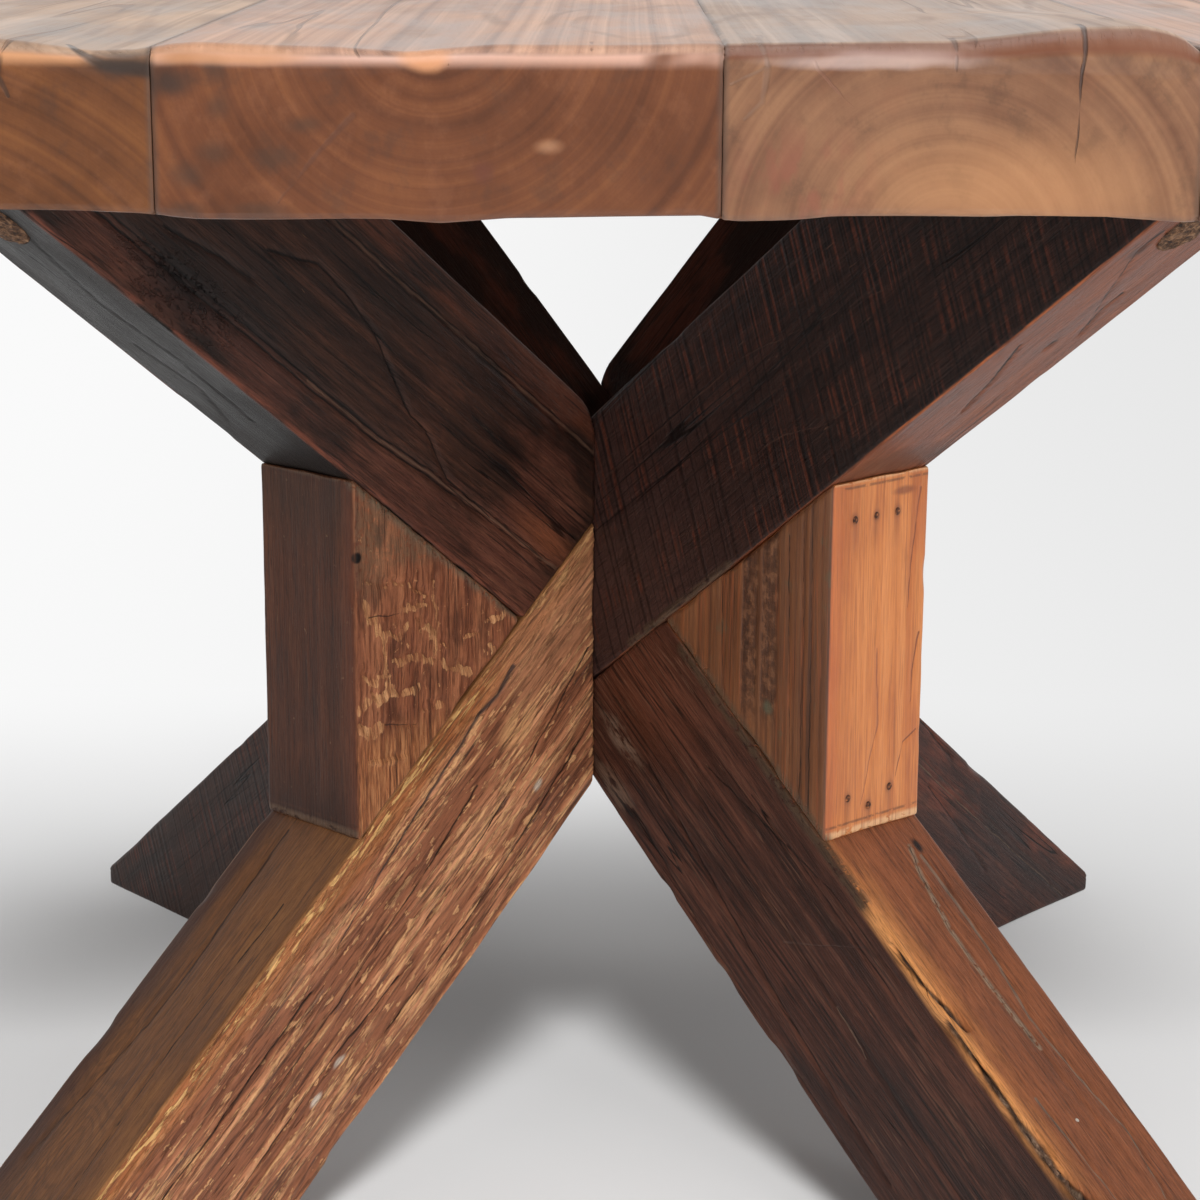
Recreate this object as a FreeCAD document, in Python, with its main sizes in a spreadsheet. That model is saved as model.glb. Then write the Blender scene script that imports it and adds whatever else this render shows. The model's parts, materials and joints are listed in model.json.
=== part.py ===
"""Plank-top table on one X-shaped pedestal of squared beams.

Two X-shaped frames cross at the hub. The through frame runs from front right to back left: its
diagonal is one beam, and the leg and the arm beside it butt on that beam. The split frame runs from
front left to back right: its two halves end on the through frame's faces and are pulled onto them by
two threaded rods. An upright wedge block fills each angle between arm and leg.

Millimetres. Origin on the floor under the middle of the table, +Z up, +Y along the planks towards
the back, +X to the right.
"""

import FreeCAD, Part
import math
import os
import Sketcher

# Driving dimensions: alias, value, meaning.
SIZES = (
    ("table_height", "760", "floor to the top's upper face"),
    ("top_length", "2000", "length of the planks"),
    ("top_thickness", "48", "thickness of the planks"),
    ("plank_1_width", "122", "leftmost plank"),
    ("plank_2_width", "131", "second plank"),
    ("plank_3_width", "127", "third plank"),
    ("plank_4_width", "163", "middle plank"),
    ("plank_5_width", "137", "fifth plank"),
    ("plank_6_width", "158", "sixth plank"),
    ("plank_7_width", "162", "rightmost plank"),
    ("arris_radius", "6", "rounding of the top's upper edges"),
    ("tongue_thickness", "8", "loose tongue between two planks"),
    ("tongue_width", "24", "width of a loose tongue across the joint"),
    ("tongue_stop", "80", "a groove stops this far from the plank's ends"),
    ("spread_angle", "42", "plan angle between an arm and the planks' direction, degrees"),
    ("foot_reach", "550", "hub axis to the tip of a foot or an arm"),
    ("nose_height", "14", "height of the blunt nose at that tip"),
    ("beam_depth", "136", "beam section, measured in its frame's plane"),
    ("beam_thickness", "82", "beam section, measured across its frame"),
    ("hub_corner_radius", "45", "rounded inner corner of the split frame's arms"),
    ("block_reach", "252", "hub axis to the outer face of a wedge block"),
    ("block_thickness", "82", "wedge block, measured across its frame"),
    ("tenon_length", "80", "loose tenon, across its joint"),
    ("tenon_width", "44", "loose tenon, along its joint"),
    ("tenon_thickness", "24", "loose tenon, across the frame"),
    ("dowel_diameter", "10", "wooden dowel"),
    ("dowel_length", "60", "wooden dowel, half in each piece"),
    ("dowel_spacing", "58", "distance between the two dowels of a joint"),
    ("block_dowel_setback", "50", "block dowels, measured out from the block's inner edge"),
    ("rod_diameter", "12", "threaded tie rod"),
    ("lower_rod_drop", "30", "lower tie rod, below the hub's middle"),
    ("upper_rod_rise", "66", "upper tie rod, above the hub's middle"),
    ("rod_stub", "4", "rod standing out of its nut"),
    ("nut_width", "19", "nut across its flats"),
    ("nut_height", "10", "nut"),
    ("washer_diameter", "30", "washer of rods and lag screws"),
    ("washer_thickness", "2.5", "washer of rods and lag screws"),
    ("counterbore_diameter", "34", "recess for a rod's nut and washer"),
    ("lag_diameter", "12", "lag screw shank"),
    ("lag_bite", "36", "length of a lag screw inside the top"),
    ("lag_point", "9", "length of a lag screw's point"),
    ("lag_head_width", "19", "lag screw head across its flats"),
    ("lag_head_height", "8", "lag screw head"),
    ("lag_inset", "87", "arm's tip to its lag screw"),
    ("pocket_diameter", "36", "pocket under an arm for its lag screw"),
    ("pocket_depth", "34", "depth of that pocket on its axis"),
    ("nail_diameter", "4", "nail shank"),
    ("nail_length", "75", "nail from face to point"),
    ("nail_point", "6", "length of a nail's point"),
    ("nail_head_diameter", "8", "nail head"),
    ("nail_head_height", "1.5", "nail head"),
    ("nail_inset", "25", "nail row to the nearer end of the block's face"),
    ("nail_pitch", "18", "distance between two nails of a row"),
    ("nail_offset", "4", "middle nail, off the middle of the face"),
    ("nail_stagger", "8", "lower middle nail, below its row"),
    ("fit_gap", "0.3", "gap all round a fastener, tongue or tenon in its hole"),
)

# Worked-out dimensions: alias, formula, meaning.
LAYOUT = (
    ("underside", "Sizes.table_height - Sizes.top_thickness", "top's lower face"),
    ("hub_height", "underside / 2", "where the diagonals cross"),
    (
        "slope",
        "atan2(hub_height - Sizes.nose_height; Sizes.foot_reach)"
        " + asin(Sizes.beam_depth / 2 / hypot(Sizes.foot_reach; hub_height - Sizes.nose_height))",
        "a beam's angle from level, so that its far edge meets the top of its nose",
    ),
    ("rise", "tan(slope)", "rise for each unit of reach"),
    ("half_cut", "Sizes.beam_depth / 2 / cos(slope)", "half a beam's height on an upright cut"),
    ("hub_top", "hub_height + half_cut", "upper edges meet the hub axis"),
    ("hub_bottom", "hub_height - half_cut", "lower edges meet the hub axis"),
    ("apex_reach", "half_cut / rise", "an arm's lower edge meets a leg's upper edge"),
    ("heel_reach", "hub_bottom / rise", "a leg's lower edge meets the floor"),
    ("arm_nose", "underside - Sizes.nose_height", "lower end of an arm's nose"),
    ("block_top", "hub_bottom + Sizes.block_reach * rise", "upper end of a block's outer face"),
    ("block_foot", "hub_top - Sizes.block_reach * rise", "lower end of a block's outer face"),
    ("crossing", "2 * Sizes.spread_angle", "plan angle between the two frames"),
    (
        "butt_near",
        "Sizes.beam_thickness * (1 / 2 - cos(crossing)) / sin(crossing)",
        "split frame's end face, one beam thickness to its near side",
    ),
    (
        "butt_far",
        "Sizes.beam_thickness * (1 / 2 + cos(crossing)) / sin(crossing)",
        "split frame's end face, one beam thickness to its far side",
    ),
    ("butt_reach", "Sizes.beam_thickness / 2 / sin(crossing)", "that end face on the centre line"),
    ("seam_reach", "(butt_reach + apex_reach) / 2", "middle of the arm's seat on the split leg"),
    ("seam_height", "hub_top - seam_reach * rise", "height of that point"),
    ("dowel_reach", "apex_reach + Sizes.block_dowel_setback", "block dowels from the hub axis"),
    ("dowel_high", "hub_bottom + dowel_reach * rise", "block dowels at the arm"),
    ("dowel_low", "hub_top - dowel_reach * rise", "block dowels at the leg"),
    (
        "rod_stack",
        "Sizes.washer_thickness + Sizes.nut_height + Sizes.rod_stub",
        "what stands on a rod's seat",
    ),
    (
        "lower_seat",
        "(half_cut + Sizes.lower_rod_drop - Sizes.counterbore_diameter / 2) / rise"
        " - rod_stack - Sizes.fit_gap",
        "washer's seat of the lower rod, from the hub axis",
    ),
    (
        "upper_seat",
        "(half_cut + Sizes.upper_rod_rise - Sizes.counterbore_diameter / 2) / rise"
        " - rod_stack - Sizes.fit_gap",
        "washer's seat of the upper rod, from the hub axis",
    ),
    ("lower_rod_height", "hub_height - Sizes.lower_rod_drop", "height of the lower rod"),
    ("upper_rod_height", "hub_height + Sizes.upper_rod_rise", "height of the upper rod"),
    ("lag_reach", "Sizes.foot_reach - Sizes.lag_inset", "lag screw from the hub axis"),
    ("lag_seat", "hub_bottom + lag_reach * rise + Sizes.pocket_depth", "lag washer's seat"),
    ("lag_head_top", "lag_seat - Sizes.washer_thickness", "where a lag's shank leaves its head"),
    ("lag_foot", "lag_head_top - Sizes.lag_head_height", "underside of a lag's head"),
    ("lag_tip", "underside + Sizes.lag_bite", "point of a lag screw"),
    ("top_middle", "underside + Sizes.top_thickness / 2", "mid-height of the planks"),
    (
        "joint_0",
        "-(Sizes.plank_1_width + Sizes.plank_2_width + Sizes.plank_3_width + Sizes.plank_4_width"
        " + Sizes.plank_5_width + Sizes.plank_6_width + Sizes.plank_7_width) / 2",
        "left edge of the top",
    ),
    ("joint_1", "joint_0 + Sizes.plank_1_width", "first joint"),
    ("joint_2", "joint_1 + Sizes.plank_2_width", "second joint"),
    ("joint_3", "joint_2 + Sizes.plank_3_width", "third joint"),
    ("joint_4", "joint_3 + Sizes.plank_4_width", "fourth joint"),
    ("joint_5", "joint_4 + Sizes.plank_5_width", "fifth joint"),
    ("joint_6", "joint_5 + Sizes.plank_6_width", "sixth joint"),
    ("joint_7", "joint_6 + Sizes.plank_7_width", "right edge of the top"),
)

PLANKS = 7
# Bearing of each arm: the angle about +Z from +X to the way it points.
BEARINGS = {
    "front_right": "Sizes.spread_angle - 90",
    "front_left": "-Sizes.spread_angle - 90",
    "back_left": "Sizes.spread_angle + 90",
    "back_right": "90 - Sizes.spread_angle",
}
LEFT_AND_RIGHT = ("-1", "1")
UPRIGHT = "0"
LEVEL = "90"
NORMAL_TO_LEG = "Layout.slope"
NORMAL_TO_ARM = "-Layout.slope"

doc = FreeCAD.newDocument("Table")


def fill_sheet(name, rows, lead=""):
    """A spreadsheet with one row for each dimension: its name, its value and what it means."""
    sheet = doc.addObject("Spreadsheet::Sheet", name)
    for row, (alias, content, meaning) in enumerate(rows, start=1):
        sheet.set(f"A{row}", alias)
        sheet.set(f"B{row}", lead + content)
        sheet.setAlias(f"B{row}", alias)
        sheet.set(f"C{row}", meaning)
    return sheet


def add(kind, name, **formulas):
    """A document object whose properties follow the given formulas."""
    item = doc.addObject(kind, name)
    for prop, formula in formulas.items():
        item.setExpression(prop, formula)
    return item


def at(bearing, reach="0", across="0", height="0", tilt=UPRIGHT, along="0"):
    """Placement formula for a piece of one arm. Reach runs out from the hub axis, across runs over
    the frame's thickness, tilt leans the piece's own Z axis outwards, and along slides it there."""
    return (
        f"placement(vector(0; 0; 0); rotation(vector(0; 0; 1); {bearing}))"
        f" * placement(vector({reach}; {across}; {height}); rotation(vector(0; 1; 0); {tilt}))"
        f" * placement(vector(0; 0; {along}); rotation(vector(0; 0; 1); 0))"
    )


def origin_plane(body, role):
    """One of a body's own three planes."""
    return next(item for item in body.Origin.OriginFeatures if item.Role == role)


def outline(body, name, role, corners):
    """A closed sketch on one of the body's planes, with each corner held by two formulas."""
    sketch = body.newObject("Sketcher::SketchObject", name)
    sketch.AttachmentSupport = [(origin_plane(body, role), "")]
    sketch.MapMode = "FlatFace"
    count = len(corners)
    spots = [FreeCAD.Vector(*(value_of(formula) for formula in corner)) for corner in corners]
    for index in range(count):
        sketch.addGeometry(Part.LineSegment(spots[index], spots[(index + 1) % count]))
    for index in range(count):
        following = (index + 1) % count
        sketch.addConstraint(Sketcher.Constraint("Coincident", index, 2, following, 1))
    for index, corner in enumerate(corners):
        for direction, formula in zip(("DistanceX", "DistanceY"), corner):
            value = value_of(formula)
            held = sketch.addConstraint(Sketcher.Constraint(direction, -1, 1, index, 1, value))
            sketch.setExpression(f"Constraints[{held}]", formula)
    return sketch


def value_of(formula):
    """A formula's present value as a plain number."""
    return float(sizes.evalExpression(formula))


def pad(body, sketch, name, length):
    """The sketch made solid, half its length to each side of its plane."""
    feature = body.newObject("PartDesign::Pad", name)
    feature.Profile = sketch
    feature.SideType = "Symmetric"
    feature.setExpression("Length", length)
    body.Tip = feature
    return feature


def new_body(name, corners, thickness, placement=None):
    """A body with one outline in its XZ plane, padded to a thickness."""
    body = doc.addObject("PartDesign::Body", name)
    sketch = outline(body, f"{name}_outline", "XZ_Plane", corners)
    pad(body, sketch, f"{name}_pad", thickness)
    if placement:
        body.setExpression("Placement", placement)
    return body


def cut_to_through_frame(body):
    """Cuts a split-frame beam back to the through frame's face, which crosses it at an angle."""
    reach = "Sizes.beam_thickness"
    corners = (
        (f"-{reach}", f"-{reach}"),
        ("Layout.butt_near", f"-{reach}"),
        ("Layout.butt_far", reach),
        (f"-{reach}", reach),
    )
    sketch = outline(body, f"{body.Name}_butt", "XY_Plane", corners)
    before = body.Shape.Volume
    pocket = body.newObject("PartDesign::Pocket", f"{body.Name}_butt_cut")
    pocket.Profile = sketch
    pocket.Reversed = True
    pocket.setExpression("Length", "Sizes.table_height")
    body.Tip = pocket
    doc.recompute()
    if not body.Shape.Volume < before:
        raise RuntimeError(f"{body.Label}: its butt end was not cut")


def round_edges(body, name, radius, *tests):
    """Rounds the edges whose two ends both pass one of the given tests."""
    doc.recompute()
    base = body.Tip
    edges = [
        f"Edge{number}"
        for number, edge in enumerate(base.Shape.Edges, start=1)
        if any(all(test(vertex.Point) for vertex in edge.Vertexes) for test in tests)
    ]
    fillet = body.newObject("PartDesign::Fillet", name)
    fillet.Base = (base, edges)
    fillet.setExpression("Radius", radius)
    body.Tip = fillet


def merged(name, items):
    """Several solids as one cutter."""
    if len(items) == 1:
        return items[0]
    fusion = doc.addObject("Part::MultiFuse", name)
    fusion.Shapes = items
    return fusion


def bored(label, base, cutters):
    """A piece: its blank with its holes cut."""
    piece = doc.addObject("Part::Cut", label)
    piece.Base = base
    piece.Tool = merged(f"{label}_cutters", cutters)
    piece.Label = label
    return piece


def group(label, items):
    """Like solids that share one name."""
    if len(items) == 1:
        piece = items[0]
    else:
        piece = doc.addObject("Part::Compound", label)
        piece.Links = items
    piece.Label = label
    return piece


def cylinder(name, radius, length, placement):
    """A round solid along its own Z axis."""
    return add("Part::Cylinder", name, Radius=radius, Height=length, Placement=placement)


def hexagon(name, width, height, placement):
    """A six-sided solid, measured across its flats."""
    circumradius = f"{width} / 2 / cos(30)"
    return add("Part::Prism", name, Circumradius=circumradius, Height=height, Placement=placement)


# Pedestal: outlines in a frame's plane, as reach from the hub axis and height above the floor.


def leg_corners(at_hub):
    """A leg, from its corners at the hub to its foot."""
    return (
        *at_hub,
        ("Sizes.foot_reach", "Sizes.nose_height"),
        ("Sizes.foot_reach", "0"),
        ("Layout.heel_reach", "0"),
    )


def arm_corners():
    """An arm, from its seat on the beam below it to the underside of the top."""
    return (
        ("0", "Layout.hub_top"),
        ("Layout.apex_reach", "Layout.hub_height"),
        ("Sizes.foot_reach", "Layout.arm_nose"),
        ("Sizes.foot_reach", "Layout.underside"),
        ("Layout.heel_reach", "Layout.underside"),
    )


def through_diagonal_blank():
    """The beam that runs from the back-left foot through the hub to the front-right top."""
    corners = (
        ("-Sizes.foot_reach", "0"),
        ("-Layout.heel_reach", "0"),
        ("Sizes.foot_reach", "Layout.arm_nose"),
        ("Sizes.foot_reach", "Layout.underside"),
        ("Layout.heel_reach", "Layout.underside"),
        ("-Sizes.foot_reach", "Sizes.nose_height"),
    )
    placement = at(BEARINGS["front_right"])
    return new_body("through_diagonal_blank", corners, "Sizes.beam_thickness", placement)


def butted_leg_blank(corner):
    """The through frame's leg, whose upper end lies along the diagonal's lower edge."""
    at_hub = (("0", "Layout.hub_bottom"), ("Layout.apex_reach", "Layout.hub_height"))
    placement = at(BEARINGS[corner])
    return new_body(
        f"{corner}_leg_blank", leg_corners(at_hub), "Sizes.beam_thickness", placement
    )


def butted_arm_blank(corner):
    """The through frame's arm, whose lower end lies along the diagonal's upper edge."""
    placement = at(BEARINGS[corner])
    return new_body(f"{corner}_arm_blank", arm_corners(), "Sizes.beam_thickness", placement)


def split_leg_blank(corner):
    """A split-frame leg at its full depth up to the through frame."""
    at_hub = (("0", "Layout.hub_bottom"), ("0", "Layout.hub_top"))
    placement = at(BEARINGS[corner])
    body = new_body(
        f"{corner}_leg_blank", leg_corners(at_hub), "Sizes.beam_thickness", placement
    )
    doc.recompute()
    cut_to_through_frame(body)
    return body


def split_arm_blank(corner):
    """A split-frame arm, seated on its leg's upper edge, with its inner corner rounded."""
    placement = at(BEARINGS[corner])
    body = new_body(f"{corner}_arm_blank", arm_corners(), "Sizes.beam_thickness", placement)
    doc.recompute()
    cut_to_through_frame(body)
    hub_top = value_of("Layout.hub_top")
    hub_zone = value_of("Layout.heel_reach")

    def inner_corner(point):
        return point.z > hub_top and point.x < hub_zone

    round_edges(body, f"{corner}_arm_corner", "Sizes.hub_corner_radius", inner_corner)
    return body


def block_blank(corner):
    """An upright wedge between an arm and a leg."""
    corners = (
        ("Layout.apex_reach", "Layout.hub_height"),
        ("Sizes.block_reach", "Layout.block_foot"),
        ("Sizes.block_reach", "Layout.block_top"),
    )
    placement = at(BEARINGS[corner])
    return new_body(f"{corner}_block_blank", corners, "Sizes.block_thickness", placement)


# Fasteners. Each is made twice from the same values: itself, and its hole with fit_gap around it.


def dowel_pair(name, corner, reach, height, tilt, gap=False):
    """Two dowels side by side across a joint, or their holes."""
    widening = "Sizes.fit_gap" if gap else "0"
    return [
        cylinder(
            f"{name}_{number}",
            f"Sizes.dowel_diameter / 2 + {widening}",
            f"Sizes.dowel_length + 2 * {widening}",
            at(
                BEARINGS[corner],
                reach,
                f"{side} * Sizes.dowel_spacing / 2",
                height,
                tilt,
                f"-Sizes.dowel_length / 2 - {widening}",
            ),
        )
        for number, side in enumerate(LEFT_AND_RIGHT, start=1)
    ]


def block_dowels(corner, end, gap=False):
    """The dowels between a block and the arm above it or the leg below it."""
    height = "Layout.dowel_high" if end == "arm" else "Layout.dowel_low"
    tilt = NORMAL_TO_ARM if end == "arm" else NORMAL_TO_LEG
    kind = "hole" if gap else "dowel"
    name = f"{corner}_block_{end}_{kind}"
    return dowel_pair(name, corner, "Layout.dowel_reach", height, tilt, gap)


def seam_dowels(corner, gap=False):
    """The dowels between a split-frame arm and its leg."""
    name = f"{corner}_seam_{'hole' if gap else 'dowel'}"
    return dowel_pair(
        name, corner, "Layout.seam_reach", "Layout.seam_height", NORMAL_TO_LEG, gap
    )


def loose_tenon(name, corner, height, tilt, gap=False):
    """A flat loose tenon across a butt joint of the through frame, or its mortise."""
    widening = "Sizes.fit_gap" if gap else "0"
    sides = {
        "Length": f"Sizes.tenon_width + 2 * {widening}",
        "Width": f"Sizes.tenon_thickness + 2 * {widening}",
        "Height": f"Sizes.tenon_length + 2 * {widening}",
    }
    centring = "; ".join(f"-({side}) / 2" for side in sides.values())
    placement = (
        at(BEARINGS[corner], "Layout.apex_reach / 2", "0", height, tilt)
        + f" * placement(vector({centring}); rotation(vector(0; 0; 1); 0))"
    )
    return add("Part::Box", name, Placement=placement, **sides)


def tie_rod(level, gap=False):
    """A threaded rod from seat to seat through both halves and the through frame."""
    widening = "Sizes.fit_gap" if gap else "0"
    half = f"Layout.{level}_seat + Layout.rod_stack"
    return cylinder(
        f"{level}_rod_hole" if gap else f"{level}_tie_rod",
        f"Sizes.rod_diameter / 2 + {widening}",
        f"2 * ({half} + {widening})",
        at(
            BEARINGS["front_left"],
            height=f"Layout.{level}_rod_height",
            tilt=LEVEL,
            along=f"-({half}) - {widening}",
        ),
    )


def counterbore(level, corner):
    """The recess for a rod's washer and nut, open towards the wedge block."""
    return cylinder(
        f"{corner}_{level}_counterbore",
        "Sizes.counterbore_diameter / 2",
        "Sizes.beam_depth",
        at(
            BEARINGS[corner],
            f"Layout.{level}_seat",
            height=f"Layout.{level}_rod_height",
            tilt=LEVEL,
        ),
    )


def washer(name, placement):
    """A flat ring that clears its rod or shank."""
    disc = cylinder(
        f"{name}_disc", "Sizes.washer_diameter / 2", "Sizes.washer_thickness", placement
    )
    hole = cylinder(
        f"{name}_hole",
        "Sizes.rod_diameter / 2 + Sizes.fit_gap",
        "Sizes.washer_thickness",
        placement,
    )
    ring = doc.addObject("Part::Cut", name)
    ring.Base = disc
    ring.Tool = hole
    return ring


def nut(name, placement):
    """A hexagon nut that clears its rod."""
    blank = hexagon(f"{name}_blank", "Sizes.nut_width", "Sizes.nut_height", placement)
    hole = cylinder(
        f"{name}_hole", "Sizes.rod_diameter / 2 + Sizes.fit_gap", "Sizes.nut_height", placement
    )
    ring = doc.addObject("Part::Cut", name)
    ring.Base = blank
    ring.Tool = hole
    return ring


def on_rod(level, corner, offset="0"):
    """Placement formula for a washer or nut on a rod's end."""
    return at(
        BEARINGS[corner],
        f"Layout.{level}_seat + {offset}",
        height=f"Layout.{level}_rod_height",
        tilt=LEVEL,
    )


def at_lag(corner, height):
    """Placement formula for a piece on a lag screw's upright axis."""
    return at(BEARINGS[corner], "Layout.lag_reach", height=height)


def lag_screw(corner):
    """A hexagon-headed lag screw, driven up from its pocket into the top."""
    name = f"{corner}_lag"
    head_place = at_lag(corner, "Layout.lag_foot")
    head = hexagon(f"{name}_head", "Sizes.lag_head_width", "Sizes.lag_head_height", head_place)
    shank = cylinder(
        f"{name}_shank",
        "Sizes.lag_diameter / 2",
        "Layout.lag_tip - Sizes.lag_point - Layout.lag_head_top",
        at_lag(corner, "Layout.lag_head_top"),
    )
    point = add(
        "Part::Cone",
        f"{name}_point",
        Radius1="Sizes.lag_diameter / 2",
        Radius2="Sizes.lag_diameter / 8",
        Height="Sizes.lag_point",
        Placement=at_lag(corner, "Layout.lag_tip - Sizes.lag_point"),
    )
    return merged(name, [head, shank, point])


def lag_hole(corner):
    """The hole for a lag screw's shank, through the arm and into the top."""
    return cylinder(
        f"{corner}_lag_hole",
        "Sizes.lag_diameter / 2 + Sizes.fit_gap",
        "Layout.lag_tip + Sizes.fit_gap - Layout.lag_head_top",
        at_lag(corner, "Layout.lag_head_top"),
    )


def pocket(corner, filling=False):
    """The pocket under an arm, from below its lower edge up to the lag washer's seat. The filling
    stops at the screw's head."""
    gap = "Sizes.fit_gap" if filling else "0"
    top = "Layout.lag_foot" if filling else "Layout.lag_seat"
    bottom = "Layout.hub_bottom + (Layout.lag_reach - Sizes.pocket_diameter) * Layout.rise"
    return cylinder(
        f"{corner}_pocket_{'filling' if filling else 'hole'}",
        f"Sizes.pocket_diameter / 2 - {gap}",
        f"{top} - ({bottom})",
        at_lag(corner, bottom),
    )


def pocket_plug(corner, arm_blank):
    """The filling of a pocket, flush with the arm's sloping underside."""
    plug = doc.addObject("Part::Common", f"{corner}_plug")
    plug.Base = pocket(corner, filling=True)
    plug.Tool = arm_blank
    return plug


def nail_spots():
    """Where the six nails enter the front-right block: across and height formulas."""
    upper = "Layout.block_top - Sizes.nail_inset"
    lower = "Layout.block_foot + Sizes.nail_inset"
    left = "-Sizes.nail_offset - Sizes.nail_pitch"
    middle = "-Sizes.nail_offset"
    right = "Sizes.nail_pitch - Sizes.nail_offset"
    return (
        (left, upper),
        (middle, upper),
        (right, upper),
        (left, lower),
        (middle, f"{lower} - Sizes.nail_stagger"),
        (right, lower),
    )


def nail(number, across, height, gap=False):
    """A nail driven level into the block's outer face, its head flush, or its hole."""
    name = f"nail_{number}_hole" if gap else f"nail_{number}"
    widening = "Sizes.fit_gap" if gap else "0"
    inwards = "-90"

    def along_nail(start):
        return at(BEARINGS["front_right"], "Sizes.block_reach", across, height, inwards, start)

    head = cylinder(
        f"{name}_head",
        f"Sizes.nail_head_diameter / 2 + {widening}",
        f"Sizes.nail_head_height + {widening}",
        along_nail("0"),
    )
    shank = cylinder(
        f"{name}_shank",
        f"Sizes.nail_diameter / 2 + {widening}",
        "Sizes.nail_length - Sizes.nail_head_height - Sizes.nail_point",
        along_nail("Sizes.nail_head_height"),
    )
    point = add(
        "Part::Cone",
        f"{name}_point",
        Radius1=f"Sizes.nail_diameter / 2 + {widening}",
        Radius2=f"Sizes.nail_diameter / 8 + {widening}",
        Height=f"Sizes.nail_point + {widening}",
        Placement=along_nail("Sizes.nail_length - Sizes.nail_point"),
    )
    return merged(name, [head, shank, point])


# Top.


def plank_blank(number):
    """A plank, with its upper end edges and any outer upper edge rounded."""
    left = f"Layout.joint_{number - 1}"
    right = f"Layout.joint_{number}"
    corners = (
        (left, "Layout.underside"),
        (right, "Layout.underside"),
        (right, "Sizes.table_height"),
        (left, "Sizes.table_height"),
    )
    body = new_body(f"top_plank_{number}_blank", corners, "Sizes.top_length")
    upper = value_of("Sizes.table_height")
    end = value_of("Sizes.top_length") / 2
    side = value_of("Layout.joint_7")

    def same(a, b):
        return math.isclose(a, b, abs_tol=1e-6)

    def front(point):
        return same(point.z, upper) and same(point.y, -end)

    def back(point):
        return same(point.z, upper) and same(point.y, end)

    def outer(point):
        return same(point.z, upper) and same(abs(point.x), side)

    round_edges(
        body, f"top_plank_{number}_arris", "Sizes.arris_radius", front, back, outer
    )
    return body


def tongue(number, gap=False):
    """The loose tongue in one joint of the top, or its groove."""
    widening = "Sizes.fit_gap" if gap else "0"
    width = f"Sizes.tongue_width + 2 * {widening}"
    thickness = f"Sizes.tongue_thickness + 2 * {widening}"
    length = f"Sizes.top_length - 2 * Sizes.tongue_stop + 2 * {widening}"
    corner = f"Layout.joint_{number} - ({width}) / 2; -({length}) / 2"
    height = f"Layout.top_middle - ({thickness}) / 2"
    placement = f"placement(vector({corner}; {height}); rotation(vector(0; 0; 1); 0))"
    name = f"top_groove_{number}" if gap else f"top_tongue_{number}_blank"
    return add(
        "Part::Box", name, Length=width, Width=length, Height=thickness, Placement=placement
    )


def make_top(lag_holes):
    """Seven planks and the six tongues between them."""
    joints = range(1, PLANKS)
    grooves = {number: tongue(number, gap=True) for number in joints}
    drilled = merged("top_lag_holes", lag_holes)
    made = []
    for number in range(1, PLANKS + 1):
        cutters = [grooves[joint] for joint in (number - 1, number) if joint in grooves]
        made.append(bored(f"top_plank_{number}", plank_blank(number), [*cutters, drilled]))
    for number in joints:
        made.append(bored(f"top_tongue_{number}", tongue(number), [drilled]))
    return made


def make_pedestal(lag_holes):
    """Beams, blocks and all that fastens them."""
    holes = {
        (corner, end): block_dowels(corner, end, gap=True)
        for corner in BEARINGS
        for end in ("arm", "leg")
    }
    rods = [tie_rod("lower", gap=True), tie_rod("upper", gap=True)]
    lag = {corner: [lag_holes[corner], pocket(corner)] for corner in BEARINGS}
    nails = [nail(n, *spot, gap=True) for n, spot in enumerate(nail_spots(), start=1)]
    leg_tenon = ("front_right", "(Layout.hub_bottom + Layout.hub_height) / 2", NORMAL_TO_ARM)
    arm_tenon = ("back_left", "(Layout.hub_top + Layout.hub_height) / 2", NORMAL_TO_LEG)
    leg_mortise = loose_tenon("leg_mortise", *leg_tenon, gap=True)
    arm_mortise = loose_tenon("arm_mortise", *arm_tenon, gap=True)

    diagonal = through_diagonal_blank()
    made = [
        bored(
            "through_diagonal",
            diagonal,
            [
                *holes["front_right", "arm"],
                *holes["back_left", "leg"],
                *rods,
                *lag["front_right"],
                *nails[:3],
                leg_mortise,
                arm_mortise,
            ],
        ),
        bored(
            "front_right_leg",
            butted_leg_blank("front_right"),
            [*holes["front_right", "leg"], *rods, *nails[3:], leg_mortise],
        ),
    ]
    arms = {"front_right": diagonal, "back_left": butted_arm_blank("back_left")}
    made.append(
        bored(
            "back_left_arm",
            arms["back_left"],
            [*holes["back_left", "arm"], *rods, *lag["back_left"], arm_mortise],
        )
    )
    for corner in ("front_left", "back_right"):
        seam = seam_dowels(corner, gap=True)
        arms[corner] = split_arm_blank(corner)
        made.append(
            bored(
                f"{corner}_leg",
                split_leg_blank(corner),
                [*holes[corner, "leg"], *seam, *rods, counterbore("lower", corner)],
            )
        )
        made.append(
            bored(
                f"{corner}_arm",
                arms[corner],
                [
                    *holes[corner, "arm"],
                    *seam,
                    *rods,
                    *lag[corner],
                    counterbore("upper", corner),
                ],
            )
        )
    for corner in BEARINGS:
        cutters = [*holes[corner, "arm"], *holes[corner, "leg"]]
        if corner == "front_right":
            cutters += nails
        made.append(bored(f"{corner}_block", block_blank(corner), cutters))
    return made + make_fasteners(arms, leg_tenon, arm_tenon)


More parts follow.
